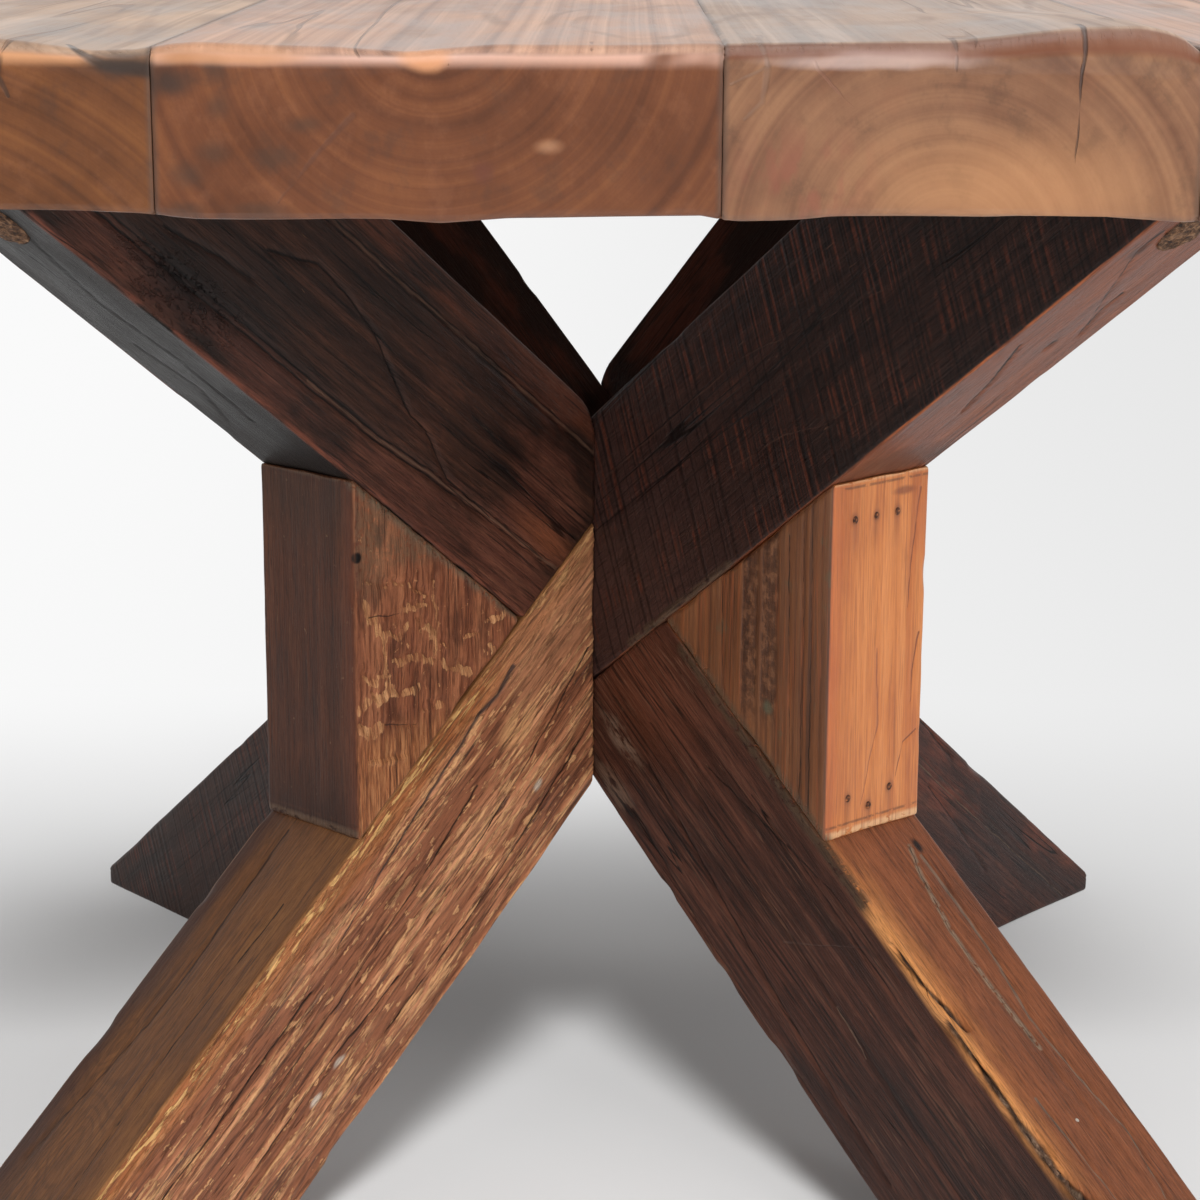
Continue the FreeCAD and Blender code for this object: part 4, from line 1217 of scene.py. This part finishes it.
def chipped_block():
    """Front-left block: dark scratched outer face; its side adzed into pale-edged flakes."""
    shade = Shade("chipped_block", 0.48, 0.05, 0.35, 0.18)
    shade.wood(51.0, [(54, 31, 21), (75, 43, 29), (94, 56, 38)], (100, 90), ring=8)
    shade.pores(52.0, (24, 16, 13))
    side = shade.face(2, 1)
    outer = shade.face(1, 1)
    russet = shade.toned([(106, 59, 42), (148, 91, 63), (176, 116, 82)])
    shade.tint(russet, side)
    shade.flecks(53.0, (120, 90, 68), (18, 700, 700), 0.66, 0.73, 0.5, outer)
    shade.flecks(54.0, (136, 106, 82), (130, 240, 240), 0.67, 0.73, 0.6, outer, -0.2)
    shade.tint((40, 27, 22), outer * shade.x.fade(0.30, 0.25) * 0.6)
    shade.tint((52, 38, 30), outer * shade.x.fade(0.40, 0.455) * 0.5)
    shade.tint((110, 62, 42), outer * shade.z.fade(0.026, 0.039) * 0.5)
    rough = shade.noise((230, 260, 260), 55.0, 4.0, 0.7)
    shade.flecks(55.5, (84, 44, 30), (40, 420, 420), 0.50, 0.60, 0.6, side, 0.3)
    shade.tint((74, 42, 32), side * shade.noise((26, 60, 60), 56.5, 3.0).fade(0.50, 0.40) * 0.45)
    hair = shade.noise((55, 420, 420), 55.2, 3.0, 0.7)
    ridge = (shade.mark + (hair - 0.5) * 1.6 + (rough - 0.5)).fade(0.42, 0.58) * shade.mark.fade(0.05, 0.2)
    torn = hair.ramp((0.40, (140, 88, 60)), (0.52, (186, 130, 88)), (0.64, (216, 162, 114)))
    shade.tint(torn, ridge * side * 0.9)
    # A painted shadow line just above each torn edge, under the flake's lip.
    shade.tint((56, 30, 22), (-shade.mark).fade(0.25, 0.8) * (hair * 0.6 + 0.4) * side)
    shade.dig((0.6 - rough) * ridge * side * (1.2 * MM))
    above = side * shade.x.fade(0.27, 0.29)
    shade.flecks(56.2, (200, 144, 100), (130, 170, 170), 0.66, 0.70, 0.8, above, -0.3)
    crusty = shade.spot((432, 240, 41), (34, 16, 8), 1.3).most(shade.spot((420, 205, 41), (12, 30, 8), 1.2))
    shade.tint((118, 88, 66), crusty * rough.fade(0.36, 0.54) * side * 0.75)
    shade.patch((70, 56, 46), (430, 232, 41), (8, 5, 6), side * 0.5)
    shade.patch(BLACK, (419, 250, 41), (3.2, 3.2, 3.2), 1.0, 0.6)
    fibrous = shade.noise((40, 500, 500), 56.0, 3.0, 0.7)
    low = side * shade.x.fade(0.320, 0.296)
    shade.tint(fibrous.ramp((0.38, (110, 64, 40)), (0.5, (160, 100, 62)), (0.62, (196, 136, 90))), low * 0.75)
    shade.dig(fibrous * low * (0.6 * MM) + (0.6 - rough) * side * (0.5 * MM))
    dark = (56, 32, 24)
    shade.split("front_left_block", {0: dark, 1: dark})
    shade.crust(((359, 113, 41), (466, 252, 41)), 8.0, (112, 94, 76))
    shade.crust(((353, 113, 41), (246, 252, 41)), 2.4, (122, 92, 70), seed=32.0)
    joint_crust(shade, (96, 74, 58), outer, 57.0)
    shade.worn_edge((144, 90, 60), 2.2, 0.7)
    shade.threads(58.0, (56, 34, 26), 0.6)
    shade.fine(59.0, 0.35, 0.62)
    return shade.finish()


def brown_block(node, seed):
    """The back frames' blocks: planed, waxed and plain."""
    shade = Shade(node, 0.45, 0.15, 0.3)
    shade.wood(seed, [(78, 46, 31), (110, 70, 47), (136, 90, 60)], (110, 80), ring=8)
    shade.flecks(seed + 1, (40, 24, 16), (30, 800, 800), 0.56, 0.66, 0.5, depth=0.1)
    shade.tint((62, 40, 30), shade.noise((12, 30, 30), seed + 2, 4.0, 0.6).fade(0.5, 0.64) * 0.5)
    shade.split(node)
    joint_crust(shade, (128, 100, 78), shade.face(1, 1), seed + 3)
    shade.worn_edge((150, 102, 70), 2.0, 0.6)
    shade.threads(seed + 6, (52, 32, 24), 0.7)
    shade.checks(seed + 4, BLACK, (2.0, 60, 60), 0.008)
    shade.fine(seed + 5, 0.3, 0.6)
    return shade.finish()


# Planks.

# The top's near end: how far its upper and lower arrises stand off their levels, by place across.
UPPER_WAVE = (
    (-165, -138, -121, -107, -66, -46, -21, 8, 43, 108, 141, 162, 174, 182),
    (1.7, -1.1, -0.5, 0.6, -0.5, -1.9, 0.6, 0.6, 1.2, 3.0, 6.5, 6.5, 4.0, 0.5),
)
LOWER_WAVE = (
    (-164, -143, -122, -108, -53, -38, -18, 8, 37, 44, 65, 75, 120, 150, 176),
    (2.2, 1.4, 0.3, -0.8, -0.8, -1.7, -0.3, 0.0, 0.6, -0.6, 0.0, 0.8, 0.5, 1.4, -0.3),
)


class PlankWear(Wear):
    """Planks are worn round at the top's outline, most of all above."""

    def __init__(self, seed):
        super().__init__(1.3, 0.4, 0.8, seed)

    def radius(self, points):
        upper = fade(points[:, 2], 0.020, 0.034)
        waves = 1 + 0.3 * noise(points, (30, 30, 30), self.seed + 9)
        return super().radius(points) + (0.6 + 4.4 * upper) * MM * waves


def plank_relief(form, seed):
    """Wide soft wear of an old top, and the near end's uneven arrises."""
    middle = form.place.translation.x

    def relief(points, normals):
        x = (middle - points[:, 1]) / MM
        near_end = 1 - fade(points[:, 0], -HALF_LENGTH + 0.02, -HALF_LENGTH + 0.25)
        above, below = normals[:, 2].clip(0), (-normals[:, 2]).clip(0)
        lift = above * np.interp(x, *UPPER_WAVE) - below * np.interp(x, *LOWER_WAVE)
        worn = noise(points, (4, 14, 14), seed) * 0.6 + noise(points, (14, 40, 40), seed + 1) * 0.25
        joint = 1 - fade(form.high[1] - np.abs(points[:, 1]), 0, 6 * MM)
        depth = worn * (1 - joint) - near_end * lift
        return depth * MM, np.zeros(len(points))

    return relief


def soft_corner(points, normals):
    """The fifth plank's right-hand arris is rubbed down at its near end."""
    across = -points[:, 1] - 0.0685
    far = fade(across, -0.012, 0.001) * fade(points[:, 2], 0.034, 0.050)
    return far * 2.5 * MM * (1 - fade(points[:, 0], -HALF_LENGTH + 0.02, -HALF_LENGTH + 0.2)), far * 0


def plank_shade(number, tones, pith, top_tones, rim_colour_and_highlight, seed, half):
    """A plank: soft end grain by its pith, a waxed top with dark checks, and a plain underside."""
    shade = Shade(f"plank_{number}", 0.4, 0.15, 0.25)
    shade.wood(seed, tones, pith, ring=5, wander=6, weights=(0.42, 0.06, 0.52), fibre=120)
    end = abs(shade.facing[0]).fade(0.5, 0.8)
    top = shade.face(2, 1)
    shade.pores(seed + 1, (84, 54, 40), 0.3, 0.1, 1.0 - end)
    shade.tint(shade.toned(top_tones), top)
    lines = shade.noise_line(shade.parts(shade.warp)[1] / 0.0035, seed + 2, 2.0, 0.6)
    shade.tint((118, 84, 60), top * lines.fade(0.56, 0.72) * 0.22)
    shade.dig(top * lines * (0.3 * MM))
    contour = abs((shade.noise((2.2, 14, 14), seed + 8, 2.0, 0.5) * 9.0).math("FRACT") - 0.5)
    broken = shade.noise((8, 20, 20), seed + 9, 2.0).fade(0.40, 0.6)
    shade.tint((118, 82, 54), top * contour.fade(0.22, 0.05) * broken * 0.5)
    blotch = shade.noise((5, 9, 9), seed + 3, 4.0, 0.6).fade(0.46, 0.62)
    shade.tint((96, 66, 48), blotch * top * 0.3)
    shade.checks(seed + 4, (104, 72, 52), (1.4, 34, 34), 0.012, 0.6, 0.6, 0.5, top)
    mottle = shade.noise((60, 60, 60), seed + 5, 5.0, 0.65)
    shade.tint((64, 42, 30), end * mottle.fade(0.52, 0.68) * 0.4)
    shade.tint((150, 98, 68), end * mottle.fade(0.48, 0.34) * 0.12)
    if rim_colour_and_highlight == RUST:
        arris = shade.facing[2].fade(0.44, 0.64) * abs(shade.facing[0]).fade(0.12, 0.4)
        shade.tint(rim_colour_and_highlight, arris * 0.85)
    else:
        # A band under the top's arris: worn wood, and also a painted highlight on the rounded arris.
        rim = shade.z.fade(0.0415, 0.0455) * (1.0 - top) * shade.noise((30, 30, 30), seed + 6).fade(0.3, 0.45)
        shade.tint(rim_colour_and_highlight, rim * 0.8)
    joint = (half - abs(shade.y)).fade(0.0024, 0.0004)
    shade.tint((76, 58, 48), joint * shade.noise((40, 40, 40), seed + 7).fade(0.2, 0.45) * 0.6)
    return shade


def shifted(tones, *factors):
    """Tones with red, green and blue each multiplied by its factor."""
    return [(*(c * f for c, f in zip(tone(*colour), factors)), 1.0) for colour in tones]


OLIVE_END = shifted([(100, 68, 46), (124, 86, 58), (142, 102, 70)], 0.58, 0.41, 0.23)
RED_END = shifted([(108, 70, 51), (130, 86, 63), (150, 104, 78)], 0.52, 0.38, 0.22)
TAN_END = shifted([(130, 90, 70), (154, 112, 88), (174, 130, 102)], 0.54, 0.49, 0.41)
OLIVE_TOP = shifted([(108, 88, 70), (150, 126, 104), (178, 152, 128)], 1.38, 1.24, 1.14)
RED_TOP = shifted([(122, 88, 70), (162, 124, 102), (188, 150, 126)], 1.22, 1.15, 1.08)
TAN_TOP = shifted([(132, 104, 84), (172, 140, 116), (196, 166, 142)], 0.88, 0.86, 0.85)
# PINK and GOLDEN rim bands are partly painted highlight on the near arris; RUST is that arris's own colour.
GOLDEN, PINK, RUST = (206, 150, 108), (216, 172, 152), (104, 58, 36)

FINISH_OF_PLANK = {
    1: (TAN_END, TAN_TOP, PINK, (20, -60)),
    2: (RED_END, RED_TOP, GOLDEN, (-14, 80)),
    3: (OLIVE_END, OLIVE_TOP, GOLDEN, (30, -90)),
    4: (RED_END, RED_TOP, PINK, (0, 58)),
    5: (TAN_END, TAN_TOP, RUST, (2, -11)),
    6: (RED_END, RED_TOP, PINK, (24, 90)),
    7: (OLIVE_END, OLIVE_TOP, GOLDEN, (10, -40)),
}
FRONT = -1000


def over_arris(start, y, *below):
    """A crack's points: from a place on the top, over the near end's arris, and down the end."""
    return ((*start, 48), (-995, y, 48), (-998.6, y, 46.6), *((FRONT, *place) for place in below))


def third_plank_marks(shade):
    """Near end of the olive plank: a stain running in from the joint, and a short crack."""
    stain = (46, 35, 29)
    shade.patch(stain, (FRONT, -56, 43.5), (9, 10, 4.5), 0.85, 1.3)
    run = ((FRONT, -64, 41), (FRONT, -50, 43), (-998.6, -45, 46.6), (-995, -42, 48), (-985, -38, 48))
    shade.crack(run, 3.4, stain, 0.8, 0.2)
    shade.crack(((FRONT, -22, 51), (FRONT, -20, 40), (FRONT, -23, 34)), 1.8, stain, 0.6, 0.2)
    shade.patch((232, 192, 146), (FRONT, -56, 50), (8, 9, 1.6), 0.7, 0.8)


def fourth_plank_marks(shade):
    """Near end of the middle plank: dark smudges to the left, a slanting crack and a small knot."""
    dark = (64, 44, 32)
    for y, z, wide, high in (
        (72, 12, 4, 3), (64, 18, 4, 2.5), (46, 17, 5, 2.5), (62, 31, 3, 3), (63, 42, 3, 3),
        (72, 2, 5, 1.8), (51, 2, 7, 1.6), (38, 26, 4, 2),
    ):
        shade.patch(dark, (FRONT, y, z), (8, wide, high), 0.6, 1.8)
    shade.patch((46, 35, 29), (FRONT, 76, 38), (9, 6, 3.5), 0.8, 1.6)
    shade.crack(((FRONT, 24, 29), (FRONT, 34, 18), (FRONT, 46, 4)), 1.4, (78, 48, 35), 0.5, 0.1)
    shade.patch((92, 50, 36), (FRONT, -13, 13), (6, 2.6, 2.4), 0.7, 1.6)
    shade.patch((196, 146, 110), (FRONT, -32, 20), (6, 3.0, 1.6), 0.35, 1.8)
    shade.crack(((-990, -3, 48), (FRONT, -3, 43)), 0.9, (120, 80, 60), 0.5, 0.2)
    shade.crack(((-980, -44, 48), (FRONT, -44, 47)), 0.9, (120, 80, 60), 0.6, 0.2)
    shade.patch((186, 132, 92), (FRONT, 62, 46), (10, 24, 3.0), 0.7, 0.8)
    shade.patch((214, 150, 104), (FRONT, 4, 46), (10, 7, 4.5), 0.7, 0.8)


def fifth_plank_marks(shade):
    """Near end of the right-hand plank: a bold split, branching cracks, reddish streaks and a painted
    highlight below the arris.
    """
    grey = (112, 88, 74)
    run = ((-960, 57, 48), (-995, 58, 48), (-998.6, 57, 46.6), (FRONT, 56, 43), (FRONT, 66, 38))
    shade.crack(run, 1.6, grey, 0.5, 0.2)
    shade.crack(((FRONT, 56, 45), (FRONT, 57, 33), (FRONT, 62, 28)), 1.6, grey, 0.4, 0.2)
    shade.crack(((FRONT, 45, 50), (FRONT, 42, 43), (FRONT, 32, 32)), 1.0, (120, 80, 62), 0.5, 0.2)
    shade.crack(over_arris((-985, 3), 3, (3, 42)), 1.4, (80, 56, 46), 0.7, 0.3)
    bold = over_arris((-980, -34), -33.5, (-33.5, 43), (-33, 35), (-32.5, 16))
    shade.crack(bold, 1.4, (66, 52, 48), 0.85, 0.6, 0.2)
    shade.patch((60, 38, 32), (FRONT, -33.5, 53), (9, 4.0, 2.0), 0.8, 0.8)
    red = shade.noise((40, 150, 60), 91.0, 3.0).fade(0.46, 0.6)
    shade.patch((124, 70, 54), (FRONT, 46, 10), (8, 16, 12), red * 0.6, 1.8)
    shade.patch((188, 134, 90), (FRONT, -14, 8), (8, 34, 13), 0.45, 1.8)
    # A painted highlight: a pale gloss just below the arris.
    shade.patch((214, 190, 182), (FRONT, 26, 44.6), (8, 26, 1.8), 0.4, 1.2)


PLANK_MARKS = {3: third_plank_marks, 4: fourth_plank_marks, 5: fifth_plank_marks}


# Small things.


def dome(radius_x, radius_y, height, rings, segments, rough, seed):
    """Points and quads of a lumpy dome on an oval foot, its skirt let 2 mm into what carries it."""
    angles = np.arange(segments) * 2 * math.pi / segments
    rows = [(1.0, -2 * MM)]
    rows += [(math.cos(t), height * math.sin(t)) for t in np.linspace(0.0, 0.47 * math.pi, rings)]
    points = np.array([
        (spread * radius_x * math.cos(angle), spread * radius_y * math.sin(angle), level)
        for spread, level in rows
        for angle in angles
    ])
    bump = noise(points, (rough,) * 3, seed, 3)
    points[:, 2] += np.where(points[:, 2] > 0, bump * height * 0.5, 0)
    quads = []
    for row in range(len(rows) - 1):
        for k in range(segments):
            following = (k + 1) % segments
            a, b = row * segments + k, row * segments + following
            quads.append((a, b, b + segments, a + segments))
    centre = (len(rows) - 1) * segments
    for k in range(1, segments // 2 - 1):
        quads.append((centre + k, centre + k + 1, centre + segments - k - 1, centre + segments - k))
    return points, np.array(quads)


def several(name, one, places):
    """One mesh of the same small form at several places."""
    points, quads = one
    all_points = [points @ place[:3, :3].T + place[:3, 3] for place in map(np.array, places)]
    all_quads = [quads + number * len(points) for number in range(len(places))]
    return build(name, np.concatenate(all_points), np.concatenate(all_quads), Matrix.Identity(4), {})


def nails():
    """Six hand-driven nail heads, just proud of the front-right block's outer face."""
    face = Matrix.Rotation(BEARING["front_right"], 4, "Z") @ UPRIGHT
    look_out = Matrix.Rotation(-math.pi / 2, 4, "X")
    places = [
        face @ Matrix.Translation((height * MM, BLOCK_REACH - 0.1 * MM, across * MM)) @ look_out
        for height, across in NAILS
    ]
    item = several("nail_heads", dome(2.4 * MM, 2.1 * MM, 0.7 * MM, 5, 14, 700, 7), places)
    shade = Shade("rusted_iron", 0.62, carved=False)
    shade.shader.inputs["Metallic"].default_value = 0.3
    rust = shade.noise((500, 500, 500), 1.0, 3.0)
    shade.colour = rust.ramp((0.4, (60, 38, 30)), (0.55, (104, 64, 44)), (0.68, (168, 108, 70)))
    shade.dig(rust * (0.3 * MM))
    dress(item, "front_right_block_nails", shade.finish())


def pocket_fillings():
    """Fibrous filler in the lag screws' pockets, on the underside of each arm."""
    places = []
    for bearing in BEARING.values():
        along = LAG_REACH / math.cos(SLOPE) - (HUB - HUB_BOTTOM) * math.sin(SLOPE)
        under = Matrix.Translation((along, 0, -DEPTH / 2 - 0.3 * MM)) @ Matrix.Rotation(math.pi, 4, "X")
        places.append(Matrix.Rotation(bearing, 4, "Z") @ ARM @ under)
    long_radius = POCKET_RADIUS / math.cos(SLOPE)
    item = several("pocket_fillings", dome(long_radius, POCKET_RADIUS, 2.2 * MM, 14, 64, 260, 9), places)
    shade = Shade("pocket_filler", 0.8, carved=False)
    lumps = shade.noise((260, 260, 260), 3.0, 4.0, 0.7)
    shade.colour = lumps.ramp((0.36, (40, 27, 20)), (0.5, (92, 64, 44)), (0.64, (142, 108, 80)))
    shade.dig((1.0 - lumps) * (2.0 * MM))
    dress(item, "lag_pocket_plugs", shade.finish())


def plain_wood():
    """The planed hardwood of tongues, tenons and dowels, all hidden in their joints."""
    shade = Shade("hidden_hardwood", 0.55, carved=False)
    shade.wood(61.0, [(176, 136, 92), (206, 168, 122), (224, 190, 146)], (300, 200), ring=6)
    shade.pores(62.0, (140, 100, 62), 0.4, 0.1)
    return shade.finish()


def zinc():
    """Spangled zinc for the rods, nuts, washers and lag screws, all hidden."""
    shade = Shade("zinc_steel", 0.38, carved=False)
    shade.shader.inputs["Metallic"].default_value = 1.0
    cells = {"Scale": 1.0, "Vector": shade.moved((140, 140, 140), 1.0)}
    spangle = add_node(shade.tree, "TexVoronoi", cells, "Color", feature="F1")
    grey = shade.parts(spangle)[0] * 0.5 + shade.noise((40, 40, 40), 2.0) * 0.5
    shade.colour = grey.ramp((0.3, (150, 152, 156)), (0.7, (196, 198, 202)))
    shade.dig(shade.noise((900, 900, 60), 3.0) * (0.05 * MM))
    return shade.finish()


def dress(item, node, material):
    """A piece with its material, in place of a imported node."""
    item.data.materials.append(material)
    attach(item, "root")
    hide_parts(node)


# Studio.


def lamp(name, location, target, width, height, power, mirrored=False):
    """A rectangular lamp; only a mirrored one shows in glossy surfaces."""
    data = bpy.data.lights.new(name, "AREA")
    data.shape = "RECTANGLE"
    data.size, data.size_y = width, height
    data.energy = power
    made = bpy.data.objects.new(name, data)
    bpy.context.scene.collection.objects.link(made)
    made.location = location
    made.rotation_euler = (Vector(target) - Vector(location)).to_track_quat("-Z", "Y").to_euler()
    made.visible_glossy = mirrored
    return made


def camera():
    """Just above the top's level, looking at its near end and down into the pedestal."""
    data = bpy.data.cameras.new("camera")
    data.sensor_width = 36.0
    data.lens = 85.93
    made = bpy.data.objects.new("camera", data)
    bpy.context.scene.collection.objects.link(made)
    place = (0.01333, -1.82433, 0.8120)
    yaw, pitch, roll = -0.0057, 0.2532, 0.0048
    forward = Vector((math.sin(yaw) * math.cos(pitch), math.cos(yaw) * math.cos(pitch), -math.sin(pitch)))
    level = Vector((math.cos(yaw), -math.sin(yaw), 0))
    up = level.cross(forward)
    right = math.cos(roll) * level + math.sin(roll) * up
    top = math.cos(roll) * up - math.sin(roll) * level
    turn = Matrix((right, top, -forward)).transposed()
    made.matrix_world = Matrix.Translation(place) @ turn.to_4x4()
    bpy.context.scene.camera = made


def camera_rays(tree):
    """1 for rays that should meet the studio's white background."""
    seen, mirrored, passed = (
        add_node(tree, "LightPath", {}, f"Is {kind} Ray") for kind in ("Camera", "Glossy", "Transmission")
    )
    return seen.most(mirrored).most(passed)


def mixed_shader(share, first, second):
    """The first shader blended towards the second."""
    return add_node(share.tree, "MixShader", {0: share, 1: first, 2: second})


def floor():
    """A pale sweep: lit near the table, and brightening into a white background behind it."""
    size = 30.0
    points = np.array([(-size, -size, 0), (size, -size, 0), (size, size, 0), (-size, size, 0)])
    item = build("floor", points, np.array([[0, 1, 2, 3]]), Matrix.Identity(4), {})
    shade = Shade("pale_floor", 0.9, carved=False)
    shade.colour = shade.noise((3, 3, 3)).ramp((0.0, (186, 186, 186)), (1.0, (190, 190, 190)))
    material = shade.finish()
    tree = shade.tree
    left, right = (0.955, 0.955, 0.955, 1.0), (0.80, 0.80, 0.80, 1.0)
    glow = add_node(tree, "Emission", {"Color": shade.x.fade(-1.0, 1.2).ramp((0.0, left), (1.0, right))})
    behind = shade.y.fade(0.1, 0.95)
    mixed = mixed_shader(behind * camera_rays(tree), Wire(tree, shade.shader.outputs[0]), glow)
    plug(mixed, tree.nodes["Material Output"].inputs[0])
    item.data.materials.append(material)
    item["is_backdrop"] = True
    return item


def world():
    """A weak even light, and a white background where it is looked at."""
    made = bpy.data.worlds.new("studio")
    bpy.context.scene.world = made
    made.use_nodes = True
    tree = made.node_tree
    tree.nodes.remove(tree.nodes["Background"])
    lit, seen = 0.35, 0.92
    ambient = add_node(tree, "Background", {"Color": (1, 1, 1, 1), "Strength": lit})
    background = add_node(tree, "Background", {"Color": (1, 1, 1, 1), "Strength": seen})
    plug(mixed_shader(camera_rays(tree), ambient, background), tree.nodes["World Output"].inputs[0])


def studio():
    """A large soft lamp low on the right, a weak one on the left, one overhead for the top, and one
    in front that lights the floor past the pedestal as if the top weren't there."""
    world()
    camera()
    stage = floor()
    lamp("key", (2.6, -3.2, 1.6), (0, 0, 0.35), 2.2, 1.8, 95)
    lamp("front", (0.2, -3.9, 1.3), (0, 0, 0.3), 1.6, 0.7, 25)
    lamp("fill", (-2.8, -2.8, 1.3), (0, 0, 0.35), 2.0, 1.6, 28)
    lamp("overhead", (0.2, -0.8, 4.2), (0, 0, 0.7), 3.0, 3.0, 60, mirrored=True)
    front = lamp("floor_light", (0.25, -2.9, 3.5), (0, 0, 0), 0.9, 0.9, 240)
    lit, pedestal = bpy.data.collections.new("floor_only"), bpy.data.collections.new("pedestal")
    lit.objects.link(stage)
    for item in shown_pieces():
        if not item.name.startswith(("plank", "top_")):
            pedestal.objects.link(item)
    front.light_linking.receiver_collection = lit
    front.light_linking.blocker_collection = pedestal


def main():
    bpy.context.scene.view_settings.view_transform = "Standard"
    slots = {part["node"]: part["material_slot"] for part in frame["record"]["subparts"]}
    beam_axes = (graded(2.6, 1.5, 6), graded(2.4, 1.1, 7), graded(1.7, 1.1, 7))
    long_axes = (graded(3.4, 1.5, 6), *beam_axes[1:])
    rough_axes = (graded(2.5, 2.0, 6), graded(2.4, 1.1, 6), graded(1.2, 1.1, 6))
    block_axes = (graded(1.3, 1.0, 5),) * 3
    crisp, soft = Wear(2.0, 0.6, 2.0, 11), Wear(2.6, 0.7, 3.0, 12)
    timbers = {
        "through_diagonal": (long_axes, crisp, [wavy(41, 0.4)], saw_marked_beam()),
        "front_right_leg": (beam_axes, soft, [wavy(42, 0.7), bark_hollow], amber_leg()),
        "back_left_arm": (beam_axes, crisp, [wavy(43)], dark_beam("back_left_arm", 101.0)),
        "front_left_leg": (rough_axes, soft, [wavy(44, 0.6), weathered], rough_leg()),
        "front_left_arm": (beam_axes, crisp, [wavy(46, 0.6)], grooved_arm()),
        "back_right_leg": (beam_axes, soft, [wavy(47)], dark_beam("back_right_leg", 111.0)),
        "back_right_arm": (beam_axes, crisp, [wavy(48)], dark_beam("back_right_arm", 121.0)),
        "front_right_block": (block_axes, soft, [wavy(49, 0.6)], honey_block()),
        "front_left_block": (block_axes, soft, [wavy(50, 0.6), chipped], chipped_block()),
        "back_left_block": (block_axes, crisp, [wavy(51)], brown_block("back_left_block", 131.0)),
        "back_right_block": (block_axes, crisp, [wavy(52)], brown_block("back_right_block", 141.0)),
    }
    for node, (axes, wear, reliefs, material) in timbers.items():
        item = carve(f"{node}_timber", form_of(node), axes, wear, *reliefs, cuts(splits(node)))
        dress(item, node, material)

    near_end = ((-1000, -970, 1.6), (-970, -700, 3.5))
    plank_axes = (graded(7, 1.2, 10, *near_end), graded(3.2, 1.2, 8), graded(3.2, 1.2, 9))
    for number, (tones, top_tones, rim_colour_and_highlight, pith) in FINISH_OF_PLANK.items():
        node = f"top_plank_{number}"
        form = plank(number)
        reliefs = [plank_relief(form, 60 + number), *([soft_corner] if number == 5 else [])]
        item = carve(f"plank_{number}", form, plank_axes, PlankWear(70 + number), *reliefs)
        shade = plank_shade(number, tones, pith, top_tones, rim_colour_and_highlight, 200.0 + 10 * number, form.high[1])
        if number in PLANK_MARKS:
            PLANK_MARKS[number](shade)
        dress(item, node, shade.finish())
    nails()
    pocket_fillings()

    finishes = {"hidden_hardwood": plain_wood(), "zinc_steel": zinc()}
    for node, item in frame["nodes"].items():
        if slots[node] in finishes:
            item.data.materials.clear()
            item.data.materials.append(finishes[slots[node]])
    studio()


main()
